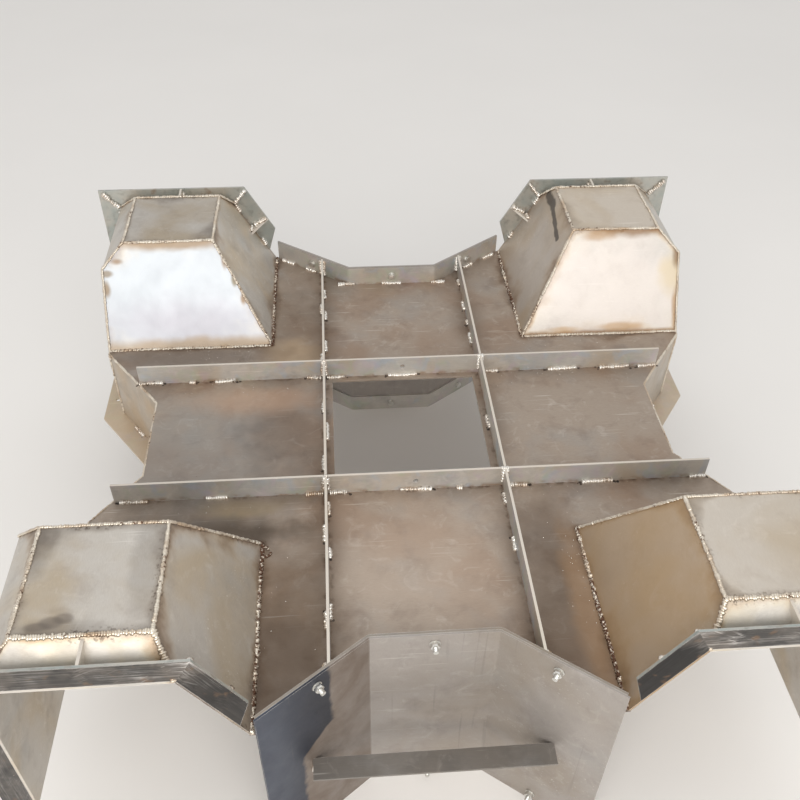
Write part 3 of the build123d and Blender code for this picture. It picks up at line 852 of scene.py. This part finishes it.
class MOULD_OT_steel(bpy.types.Operator):
    """Finish of every steel plate, bar and panel"""

    bl_idname = "mould.steel"
    bl_label = "Steel finishes"

    def execute(self, context):
        colours = context.scene.mould_colours
        # Hot-rolled steel sheet, bare: cloudy warm grey, scuffed, browned near the welds, darkest at the
        # legs' feet with painted shade
        plate = bare_steel(
            "Hot_rolled_sheet_face", colours.sheet, ("#A6917F", "#74635A", "#E2DAD0"),
            0.55, (0.36, 0.58), (1, 14, 14), pocket_distance, plate_marks,
            # Tint darkest in the corner at the legs' feet: heat tint and painted shade
            tint=(((0.0, "#4E4033"), (0.4, "#7B6450"), (0.8, "#9A8672")), 0.014, 0.06, 0.85),
        )
        wall = bare_steel(
            "Hot_rolled_sheet_wall", "#BFB5A8", ("#C2AE94", "#8D8072", "#E6E0D6"),
            0.40, (0.38, 0.6), (14, 14, 1),
        )
        panel = bare_steel(
            "Hot_rolled_sheet_panel", "#A7A09A", ("#9F958A", "#7C7570", "#D2CDC7"),
            0.45, (0.34, 0.55), (16, 16, 1), None, panel_marks,
        )
        # The same sheet on the legs, cleaner, with straw and brown tints beside the seams
        brown = (((0.0, "#5A4635"), (0.3, "#8C6F52"), (0.7, "#B39C80")), 0.010, 0.06, 0.75)
        soot = (((0.0, "#54463A"), (0.4, "#85786B"), (0.8, "#A39788")), 0.006, 0.07, 0.6)
        tan = (((0.0, "#75583D"), (0.25, "#A5845C"), (0.6, "#C9B28E"), (0.9, "#DBCFB8")), 0.012, 0.055, 0.85)
        straw = (((0.0, "#6E5238"), (0.3, "#B3946A"), (0.7, "#D8CAAC")), 0.010, 0.05, 0.85)
        # Seams of each plate, how light it is, warm clouds, marks, tint, grain, cool clouds and roughness
        leg_sheets = {
            "inner_wall_x": (
                ("foot", "inner_y", "top", "end_chamfer", "end"), 0.95, "#CDBFA9", inner_wall_marks, brown,
                (13, 1, 13), 0.4, (0.34, 0.56),
            ),
            "inner_wall_y": (
                ("foot", "inner_x", "top", "side_chamfer", "side"), 1.05, "#DCD3C6", leg_front_marks, tan,
                (1, 13, 13), 0.3, (0.42, 0.50),
            ),
            "top_plate": (
                ("inner_x", "inner_y", "side_chamfer", "end_chamfer"), 0.92, "#BFB19B", leg_top_marks, soot,
                (13, 1, 13), 0.12, (0.34, 0.56),
            ),
            "side_plate": (
                ("inner_y", "top", "end_chamfer"), 0.95, "#CDBFA9", None, brown,
                (13, 1, 13), 0.4, (0.34, 0.56),
            ),
            "end_chamfer": (
                ("inner_x", "top", "side_chamfer"), 0.98, "#DBCEB7", None, straw,
                (1, 13, 13), 0.4, (0.34, 0.56),
            ),
        }
        legs = {}
        for name, (faces, tone, warm, marks, tint, grain_way, cool, rough) in leg_sheets.items():
            legs[name] = bare_steel(
                "Welded_leg_sheet_" + name, [value * tone for value in colours.leg],
                (warm, "#9C9086", "#F2EEE8"), 0.50, rough, grain_way,
                lambda tree, place, faces=faces: seam_distance(tree, place, faces),
                marks, ("#B4B6B6", cool), tint,
            )
        # Hot-rolled flat bar with its blue-grey mill scale, a painted highlight along the tops
        bars = {}
        for name, grain_way, marks in (
            ("across", (0.5, 10, 10), bar_marks), ("along", (10, 0.5, 10), bar_marks),
            ("bent", (0.5, 10, 10), lambda tree, place, shown: bar_marks(tree, place, shown, "#82776B")),
        ):
            bars[name] = bare_steel(
                "Mill_scale_flat_bar_" + name, colours.bar, ("#BDAF9C", "#7C7A7A", "#E6E2DC"),
                0.35, (0.34, 0.55), grain_way, None, marks, ("#9BA1A6", 0.6),
            )
        brace = bare_steel(
            "Mill_scale_angle_bar", "#85807A", ("#7B756E", "#5E5B59", "#B9B4AD"),
            0.45, (0.36, 0.56), (0.5, 12, 12),
        )
        ring = ring_steel("Ground_flat_bar_end_flange", 0.6, (0.3, 0.5))
        # The finish of a solid, by how its name begins
        finishes = (
            *(("leg_" + kind, finish) for kind, finish in legs.items()),
            ("face_plate", plate), ("notch_wall", wall), ("notch_panel", panel),
            ("end_flange", ring), ("brace", brace),
            *((start, bars["along"]) for start in ("long_rib", "parting", "top_gusset")),
            *((start, bars["bent"]) for start in ("notch_flange", "foot_bar")),
            ("", bars["across"]),
        )
        for name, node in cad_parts.items():
            finish = next(finish for start, finish in finishes if name.startswith(start))
            node.data.materials.clear()
            node.data.materials.append(finish)

        # Weld metal: along the seams tanned by heat, in the short stitches still silver
        weld_metal("Seam_weld_metal", "#E8DFD0", "#6B4F3F", 0.59, (0.3, 0.6), sooty=0.17)
        weld_metal("Stitch_weld_metal", "#EEEAE3", "#77695B", 0.60, (0.22, 0.5))
        # Slag: brown-black glassy crust
        weld_metal("Weld_slag", "#4A3D33", "#2A2420", 0.45, (0.4, 0.65), 0.1, "#5C4735")
        bright_zinc()
        return {"FINISHED"}


def weld_curl(dice):
    """Places of a curl of weld metal where the foot seams of the front left leg meet."""
    middle_x, middle_y = -0.3685, -0.3935
    places = []
    for step in range(16):
        angle = step * 0.42
        reach = 0.008 + 0.0004 * step
        x = middle_x + reach * math.cos(angle)
        y = middle_y + reach * math.sin(angle) - 0.0008 * step
        size = dice.uniform(0.006, 0.009)
        places.append(Matrix.Translation((x, y, FACE + 0.001)) @ Matrix.Diagonal((size, size, size * 0.7, 1)))
    return places


class MOULD_OT_leg_seams(bpy.types.Operator):
    """Continuous beads along the seams of the four legs"""

    bl_idname = "mould.leg_seams"
    bl_label = "Leg seams"

    def execute(self, context):
        sizes = context.scene.mould_welds
        ripple = model_ripple()
        for number, (name, quarter) in enumerate(QUARTERS.items()):
            dice = random.Random(100 + number)
            places = []
            for start, end, outward, wider, lumps in leg_seams():
                places += bead(
                    *(turned(point, quarter) for point in (start, end, outward)),
                    sizes.seam_width * wider, sizes.pitch, dice, lumps=lumps, proud=0,
                )
            if name == "front_left":
                places += weld_curl(dice)
            piece = copies("seam_weld_leg_" + name, ripple, places)
            finish_piece(piece, finish_of("Seam_weld_metal"))
        bpy.data.objects.remove(ripple)
        return {"FINISHED"}


class MOULD_OT_notch_seams(bpy.types.Operator):
    """Beads round the two welded notches: the plate's edge and the upright folds"""

    bl_idname = "mould.notch_seams"
    bl_label = "Notch seams"

    def execute(self, context):
        sizes = context.scene.mould_welds
        ripple = model_ripple()
        for number, (name, way) in enumerate((("left", -1), ("right", 1))):
            dice = random.Random(200 + number)
            corners = [
                (way * HALF, LEG_FOOT), (way * HALF, NOTCH_MOUTH), (way * NOTCH_FLOOR, NOTCH_FOLD),
                (way * NOTCH_FLOOR, -NOTCH_FOLD), (way * HALF, -NOTCH_MOUTH), (way * HALF, -LEG_FOOT),
            ]
            places = []
            for (x1, y1), (x2, y2) in zip(corners, corners[1:]):
                out = Vector((y2 - y1, x1 - x2, 0)).normalized()
                if out.x * way < 0:
                    out = -out
                places += bead(
                    (x1, y1, FACE - 0.002), (x2, y2, FACE - 0.002), out + Vector((0, 0, 0.6)),
                    sizes.seam_width * 0.8, sizes.pitch, dice, proud=0,
                )
            for x, y in corners[1:5]:
                lean = 0.3 if y < 0 else -0.3
                if abs(y) == NOTCH_MOUTH:
                    lean *= 1.2
                places += bead(
                    (x, y, PARTING + BAR_THICK), (x, y, FACE - 0.004), (way, lean, 0),
                    sizes.seam_width, sizes.pitch, dice, proud=0,
                )
            piece = copies("seam_weld_notch_" + name, ripple, places)
            finish_piece(piece, finish_of("Seam_weld_metal"))
        bpy.data.objects.remove(ripple)
        return {"FINISHED"}


# Feet of the cross ribs, on the side towards the front: where each stitch begins and ends along X
CROSS_STITCHES = {
    RIB_AT - BAR_THICK / 2: (
        (-0.741, -0.676), (-0.602, -0.585), (-0.532, -0.473), (-0.272, -0.230), (-0.215, -0.166),
        (-0.041, 0.042), (0.229, 0.275), (0.421, 0.506), (0.574, 0.660), (0.687, 0.737),
    ),
    -RIB_AT - BAR_THICK / 2: (
        (-0.727, -0.659), (-0.518, -0.465), (-0.273, -0.230), (-0.215, -0.171), (-0.039, 0.041),
        (0.102, 0.117), (0.229, 0.282), (0.420, 0.500), (0.698, 0.739),
    ),
}
# Feet of the long ribs, inner and outer side: where each stitch begins and ends along Y
LONG_STITCHES = {
    RIB_IN: (
        (0.650, 0.676), (0.515, 0.560), (0.440, 0.458), (0.345, 0.395), (-0.020, 0.030), (-0.290, -0.255),
        (-0.435, -0.395),
    ),
    RIB_OUT: (
        (0.560, 0.610), (0.400, 0.440), (0.055, 0.105), (-0.130, -0.075), (-0.330, -0.290), (-0.520, -0.470),
    ),
    -RIB_IN: (
        (0.600, 0.640), (0.490, 0.530), (0.330, 0.380), (-0.040, 0.025), (-0.300, -0.260), (-0.430, -0.400),
        (-0.600, -0.560),
    ),
    -RIB_OUT: (
        (0.520, 0.570), (0.290, 0.320), (0.070, 0.120), (-0.150, -0.100), (-0.380, -0.330), (-0.620, -0.575),
    ),
}


def rib_stitches(stitch, dice):
    """Beads at the feet of the ribs, in the corners where they cross and on top of each crossing."""
    places = []
    for y, spans in CROSS_STITCHES.items():
        for first, last in spans:
            places += stitch((first, y, FACE), (last, y, FACE), (0, -1, 1))
    # The other side of the cross ribs, between those
    for y in (RIB_AT + BAR_THICK / 2, -RIB_AT + BAR_THICK / 2):
        for middle in (-0.64, -0.43, -0.11, 0.12, 0.36, 0.55, 0.71):
            places += stitch((middle - 0.028, y, FACE), (middle + 0.026, y, FACE), (0, 1, 1))
    for x, spans in LONG_STITCHES.items():
        inner = abs(x) < RIB_AT
        outward = (-1 if (x > 0) == inner else 1, 0, 1)
        for first, last in spans:
            places += stitch((x, first, FACE), (x, last, FACE), outward)
    top = FACE + BAR_WIDTH
    for way_x, way_y in product((-1, 1), repeat=2):
        for (x, out_x), y_side in product(((RIB_IN, -1), (RIB_OUT, 1)), (-1, 1)):
            corner = (way_x * x, way_y * RIB_AT + y_side * BAR_THICK / 2)
            low = FACE + 0.006 + dice.uniform(0, 0.012)
            high = FACE + BAR_WIDTH * (1.0 if y_side < 0 else dice.uniform(0.6, 0.95))
            places += stitch((*corner, low), (*corner, high - 0.003), (way_x * out_x, y_side, 0), 0.9)
        start, end, y = way_x * RIB_IN - 0.006, way_x * RIB_OUT + 0.006, way_y * RIB_AT
        places += stitch((start, y, top - 0.001), (end, y, top - 0.001), (0, 0, 1), 0.7, height=0.4, proud=0)
    return places


def slag_crusts(dice):
    """Lumps of slag left in the craters at the ends of the stitches along the ribs."""
    spots = []
    for y, spans in CROSS_STITCHES.items():
        for span in spans:
            for x, chance in zip(span, (0.35, 0.85)):
                if dice.random() < chance:
                    spots.append((x + math.copysign(0.005, x - sum(span) / 2), y - 0.004))
    for x, spans in LONG_STITCHES.items():
        for span in spans:
            for y in span:
                if dice.random() < 0.7:
                    spots.append((x + math.copysign(0.004, abs(x) - RIB_AT) * (1 if x > 0 else -1), y))
    places = []
    for x, y in spots:
        for _ in range(3):
            size = dice.uniform(0.0035, 0.0075)
            spot = Matrix.Translation((x + dice.gauss(0, 0.003), y + dice.gauss(0, 0.003), FACE))
            turn = Matrix.Rotation(dice.uniform(0, 3.1), 4, "Z")
            places.append(spot @ turn @ Matrix.Diagonal((size * 1.3, size, size * 0.5, 1)))
    return places


def notch_flange_stitches(stitch):
    """Beads along the inner foot of the notch flanges, and upright ones where the ribs meet them."""
    places = []
    for side in (1, -1):
        y = side * (NOTCH_FLOOR - BAR_THICK)
        for first, last in ((-0.173, -0.119), (-0.034, 0.031), (0.129, 0.174)):
            places += stitch((first, y, FACE), (last, y, FACE), (0, -side, 1))
        for way in (-1, 1):
            out = Vector((way * NOTCH_SLANT.y, -side * NOTCH_SLANT.x, 0))
            corner = Vector((way * NOTCH_FOLD, side * NOTCH_FLOOR, 0)) + out * BAR_THICK
            run = Vector((way * NOTCH_SLANT.x, side * NOTCH_SLANT.y, 0))
            for first, last in ((0.125, 0.165), (0.215, 0.262)):
                start, end = corner + run * first, corner + run * last
                start.z = end.z = FACE
                places += stitch(start, end, out + Vector((0, 0, 1)))
            for x, out_x in ((RIB_IN, -1), (RIB_OUT, 1)):
                spot = corner + run * ((x - abs(corner.x)) / abs(run.x))
                start, end = (spot.x, spot.y, FACE + 0.004), (spot.x, spot.y, FACE + BAR_WIDTH - 0.006)
                places += stitch(start, end, out + Vector((way * out_x, 0, 0)), 1.1)
    return places


def end_flange_stitches(stitch):
    """Beads behind the rings of the legs: mitres, feet of the bars, feet of the gussets."""
    coarse = {"longer": 1.3, "lumps": 0.35, "proud": 0.25}
    mitre_foot = KNEE_IN - MITRE_RUN
    middle = (mitre_foot + HALF) / 2
    foot, knee = Vector((LEG_FOOT, RING_BACK, FACE)), Vector((KNEE_IN, RING_BACK, KNEE))
    low, high = KNEE + 0.004, KNEE + BAR_WIDTH - 0.012
    level = KNEE + BAR_THICK
    # Both mitres: start, end, outward way and width share
    runs = [
        ((HALF + 0.004, RING_BACK, low), (HALF + BAR_WIDTH - 0.012, RING_BACK, high), (0, -1, 0), 1.0),
        ((KNEE_IN, RING_BACK, low), (mitre_foot, RING_BACK, high), (0, -1, 0), 1.0),
    ]
    # Slanted bar on the inner wall, top bar on the chamfer, upright bar on the side wall
    for first, last in ((0.27, 0.38), (0.88, 0.99)):
        runs.append((foot.lerp(knee, first), foot.lerp(knee, last), (-SLOPE_SIN, -1, SLOPE_COS), 1.0))
    for first, last in ((0.53, 0.58), (0.70, 0.75)):
        runs.append(((first, RING_BACK, level), (last, RING_BACK, level), (0, -1, 1), 1.0))
    for first, last in ((0.40, 0.45), (0.56, 0.61), (0.70, 0.745)):
        runs.append(((HALF, RING_BACK, first), (HALF, RING_BACK, last), (1, -1, 0), 1.0))
    # Upright gussets: both feet of each
    for x, out in ((middle - BAR_THICK / 2, -1), (middle + BAR_THICK / 2, 1)):
        runs.append(((x, RING_BACK, KNEE + 0.012), (x, RING_BACK, KNEE + 0.045), (out, -1, 0), 0.8))
    places = []
    for quarter in QUARTERS.values():
        for *points, wider in runs:
            places += stitch(*(turned(point, quarter) for point in points), wider, **coarse)
    # Slanted gussets: both feet, on the side away from the face plate
    wall_out = Vector((-SLOPE_SIN, 0, SLOPE_COS))
    for name, quarter in QUARTERS.items():
        near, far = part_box("slant_gusset_" + name)
        depth = far[1] - near[1]
        along = (max(abs(near[0]), abs(far[0])) - LEG_FOOT) / LEG_RUN
        base = foot + Vector((LEG_RUN, 0, LEG_RISE)) * along
        for points in (
            (base - Vector((0, depth * 0.9, 0)), base - Vector((0, depth * 0.2, 0)), wall_out + SLOPE),
            (base + wall_out * 0.012, base + wall_out * 0.056, Vector((0, -1, 0)) + SLOPE),
        ):
            places += stitch(*(turned(point, quarter) for point in points), **coarse)
    return places


def parting_flange_stitches(stitch):
    """Beads along the parting flanges, at their gussets and at the ends of the braces."""
    places = []
    level = PARTING + BAR_THICK
    for way in (-1, 1):
        side, floor = way * HALF, way * NOTCH_FLOOR
        for y_way in (-1, 1):
            for first, last in ((0.46, 0.50), (0.63, 0.68), (0.80, 0.84)):
                places += stitch((side, y_way * first, level), (side, y_way * last, level), (way, 0, 1))
            mouth = Vector((side, y_way * NOTCH_MOUTH, level))
            fold = Vector((floor, y_way * NOTCH_FOLD, level))
            out = Vector((way * NOTCH_SLANT.x, -y_way * NOTCH_SLANT.y, 1))
            for first, last in ((0.28, 0.47), (0.70, 0.84)):
                places += stitch(mouth.lerp(fold, first), mouth.lerp(fold, last), out, 1.2)
        for out_y in (-1, 1):
            y = out_y * BAR_THICK / 2
            near, far = way * (NOTCH_FLOOR + 0.010), way * (NOTCH_FLOOR + 0.044)
            places += stitch((floor, y, level + 0.008), (floor, y, level + 0.046), (way, out_y, 0))
            places += stitch((near, y, level), (far, y, level), (0, out_y, 1))
        for first, last in ((-0.115, -0.07), (0.065, 0.11)):
            places += stitch((floor, first, level), (floor, last, level), (way, 0, 1))
        for end, out_y in (("front", -1), ("back", 1)):
            low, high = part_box("brace_" + end)
            x, y = way * high[0], (high if out_y < 0 else low)[1] + out_y * 0.004
            places += stitch((x, y, low[2] + 0.006), (x, y, high[2] - 0.030), (way * 0.4, out_y, 0), 0.8)
    return places


class MOULD_OT_stitches(bpy.types.Operator):
    """Short stitch beads that hold the ribs, flanges, gussets and braces"""

    bl_idname = "mould.stitches"
    bl_label = "Stitch welds"

    def execute(self, context):
        sizes = context.scene.mould_welds
        ripple = model_ripple()
        dice = random.Random(31)

        def stitch(start, end, outward, wider=1.0, longer=1.0, height=0.6, **look):
            """The ripples of one stitch, wider or with longer ripples than the others where given."""
            width, pitch = sizes.stitch_width * wider, sizes.pitch * longer
            return bead(start, end, outward, width, pitch, dice, height, **look)

        # They all draw from the same dice, so their order stays
        for name, finish, places in (
            ("stitch_weld_ribs", "Stitch_weld_metal", rib_stitches(stitch, dice)),
            ("weld_slag_ribs", "Weld_slag", slag_crusts(dice)),
            ("stitch_weld_notch_flanges", "Stitch_weld_metal", notch_flange_stitches(stitch)),
            ("stitch_weld_end_flanges", "Stitch_weld_metal", end_flange_stitches(stitch)),
            ("stitch_weld_parting_flanges", "Stitch_weld_metal", parting_flange_stitches(stitch)),
        ):
            finish_piece(copies(name, ripple, places), finish_of(finish))
        bpy.data.objects.remove(ripple)
        return {"FINISHED"}


# Steel that a panel bolt clamps: the flat bar and the sheet
GRIP = BAR_THICK + SHEET
# Parts of an M12 bolt along its axis, in metres: radius, corners, lower and upper end
BOLT_PARTS = {
    "washer": (0.012, 24, 0.0, 0.0025),
    "nut": (0.01097, 6, 0.0025, 0.0125),
    "inner washer": (0.012, 24, -GRIP - 0.0025, -GRIP),
    "head": (0.01097, 6, -GRIP - 0.010, -GRIP - 0.0025),
}
# Its thread: radius of the crests, where it starts, share of the roots and height of half a turn
THREAD_RADIUS = 0.0059
THREAD_START = 0.0115
THREAD_ROOT = 0.88
THREAD_STEP = 0.000875


def model_bolt():
    """An M12 bolt with two washers and a nut, the nut end up, the clamped steel at Z 0 to -11 mm."""
    parts = []
    for radius, corners, low, high in BOLT_PARTS.values():
        bpy.ops.mesh.primitive_cylinder_add(
            vertices=corners, radius=radius, depth=high - low, location=(0, 0, (low + high) / 2)
        )
        part = bpy.context.object
        bpy.ops.object.transform_apply(location=True)
        bpy.ops.object.mode_set(mode="EDIT")
        bpy.ops.mesh.select_all(action="SELECT")
        bpy.ops.mesh.bevel(offset=0.0009 if corners == 6 else 0.0004, segments=2)
        bpy.ops.object.mode_set(mode="OBJECT")
        parts.append(part)
    # Threaded end past the nut: crest and root rings drawn out in turn, 1.75 mm apart
    bpy.ops.mesh.primitive_circle_add(
        vertices=14, radius=THREAD_RADIUS, fill_type="NGON", location=(0, 0, THREAD_START)
    )
    thread = bpy.context.object
    bpy.ops.object.transform_apply(location=True)
    bpy.ops.object.mode_set(mode="EDIT")
    for turn in range(14):
        grow = THREAD_ROOT if turn % 2 == 0 else 1 / THREAD_ROOT
        bpy.ops.mesh.extrude_region_move(TRANSFORM_OT_translate={"value": (0, 0, THREAD_STEP)})
        bpy.ops.transform.resize(value=(grow, grow, 1))
    bpy.ops.mesh.select_all(action="SELECT")
    bpy.ops.mesh.normals_make_consistent(inside=False)
    bpy.ops.object.mode_set(mode="OBJECT")
    parts.append(thread)
    bpy.ops.object.select_all(action="DESELECT")
    for part in parts:
        part.select_set(True)
    bpy.context.view_layer.objects.active = parts[0]
    bpy.ops.object.join()
    return bpy.context.view_layer.objects.active


class MOULD_OT_panel_bolts(bpy.types.Operator):
    """Twelve M12 bolts with nuts and washers through the notch panels, their flanges and foot bars"""

    bl_idname = "mould.panel_bolts"
    bl_label = "Panel bolts"

    def execute(self, context):
        bolt = model_bolt()
        dice = random.Random(12)
        ends = (("front", -1), ("back", 1))
        rows = (("upper", FACE + BAR_WIDTH / 2), ("foot", BAR_WIDTH / 2))
        columns = (("left", -1), ("middle", 0), ("right", 1))
        for (end, side), (row, level), (column, way) in product(ends, rows, columns):
            if way == 0:
                spot = Vector((0, side * NOTCH_FLOOR, level))
                out = Vector((0, side, 0))
            else:
                spot = Vector((way * (NOTCH_MOUTH + NOTCH_FOLD) / 2, side * (HALF + NOTCH_FLOOR) / 2, level))
                out = Vector((-way * NOTCH_SLANT.y, side * NOTCH_SLANT.x, 0))
            aim = out.to_track_quat("Z", "Y").to_matrix().to_4x4()
            turn = Matrix.Rotation(dice.uniform(0, 1.0), 4, "Z")
            place = Matrix.Translation(spot + out * SHEET) @ aim @ turn
            piece = copies("panel_bolt_" + end + "_" + row + "_" + column, bolt, [place])
            only(piece)
            bpy.ops.object.shade_smooth_by_angle(angle=math.radians(35))
            finish_piece(piece, finish_of("Zinc_plated_bolt_steel"))
        bpy.data.objects.remove(bolt)
        return {"FINISHED"}


def on_open_plate(spot):
    """Whether a spot is on the face plate and clear of legs, ribs, notches and rim."""
    x, y = abs(spot.x), abs(spot.y)
    leg = x > LEG_FOOT - 0.006 and y > LEG_FOOT - 0.006
    rib = min(abs(x - RIB_AT), abs(y - RIB_AT)) < 0.005
    notch = (x > 0.68 and y < 0.37) or (y > 0.67 and x < 0.37)
    rim = y > RING_BACK or x > HALF - 0.003
    return not (leg or rib or notch or rim)


class MOULD_OT_spatter(bpy.types.Operator):
    """Drops of spatter stuck to the plate beside the seams"""

    bl_idname = "mould.spatter"
    bl_label = "Spatter"

    def execute(self, context):
        sizes = context.scene.mould_welds
        bpy.ops.mesh.primitive_ico_sphere_add(subdivisions=1, radius=0.5)
        drop = context.object
        bpy.ops.object.mode_set(mode="EDIT")
        bpy.ops.mesh.select_all(action="SELECT")
        bpy.ops.transform.resize(value=(1, 1, 0.7))
        bpy.ops.mesh.bisect(plane_co=(0, 0, -0.1), plane_no=(0, 0, 1), clear_inner=True, use_fill=True)
        bpy.ops.object.mode_set(mode="OBJECT")
        bpy.ops.object.shade_smooth()
        # What the drops lie along in every quarter: both feet of the leg and the outer end of the cross rib
        beside_leg, beside_rib = LEG_FOOT - 0.012, RIB_AT - 0.015
        lines = []
        for quarter in QUARTERS.values():
            for start, end in (
                ((beside_leg, LEG_FOOT), (beside_leg, RING_BACK)),
                ((LEG_FOOT, beside_leg), (HALF, beside_leg)),
                ((RIB_OUT + 0.01, beside_rib), (0.73, beside_rib)),
            ):
                lines.append((turned((*start, FACE), quarter), turned((*end, FACE), quarter)))
        dice = random.Random(77)
        places = []
        while len(places) < sizes.spatter:
            start, end = dice.choice(lines)
            spot = start.lerp(end, dice.random())
            spot.x += dice.gauss(0, 0.03)
            spot.y += dice.gauss(0, 0.03)
            if on_open_plate(spot):
                size = dice.uniform(0.0015, 0.0036)
                turn = Matrix.Rotation(dice.uniform(0, 3), 4, "Z")
                places.append(Matrix.Translation(spot) @ turn @ Matrix.Diagonal((size, size, size, 1)))
        piece = copies("spatter_face_plate", drop, places)
        finish_piece(piece, finish_of("Stitch_weld_metal"))
        bpy.data.objects.remove(drop)
        return {"FINISHED"}


OPERATORS = (
    MOULD_OT_stage,
    MOULD_OT_steel,
    MOULD_OT_leg_seams,
    MOULD_OT_notch_seams,
    MOULD_OT_stitches,
    MOULD_OT_panel_bolts,
    MOULD_OT_spatter,
)


class MOULD_PT_sidebar(bpy.types.Panel):
    """Sizes, colours and steps of the mould half"""

    bl_idname = "MOULD_PT_sidebar"
    bl_label = "Steel Block Mould"
    bl_space_type = "VIEW_3D"
    bl_region_type = "UI"
    bl_category = "Mould"

    def draw(self, context):
        for group in (context.scene.mould_stage, context.scene.mould_colours, context.scene.mould_welds):
            for name in group.__annotations__:
                self.layout.prop(group, name)
        for operator in OPERATORS:
            self.layout.operator(operator.bl_idname)


CLASSES = (SteelColours, WeldSizes, StageSettings, *OPERATORS, MOULD_PT_sidebar)


def register():
    for kind in CLASSES:
        bpy.utils.register_class(kind)
    bpy.types.Scene.mould_colours = PointerProperty(type=SteelColours)
    bpy.types.Scene.mould_welds = PointerProperty(type=WeldSizes)
    bpy.types.Scene.mould_stage = PointerProperty(type=StageSettings)


def unregister():
    del bpy.types.Scene.mould_stage
    del bpy.types.Scene.mould_welds
    del bpy.types.Scene.mould_colours
    for kind in reversed(CLASSES):
        bpy.utils.unregister_class(kind)


def main():
    register()
    bpy.ops.mould.stage()
    bpy.ops.mould.steel()
    bpy.ops.mould.leg_seams()
    bpy.ops.mould.notch_seams()
    bpy.ops.mould.stitches()
    bpy.ops.mould.panel_bolts()
    bpy.ops.mould.spatter()


if __name__ == "__main__":
    main()
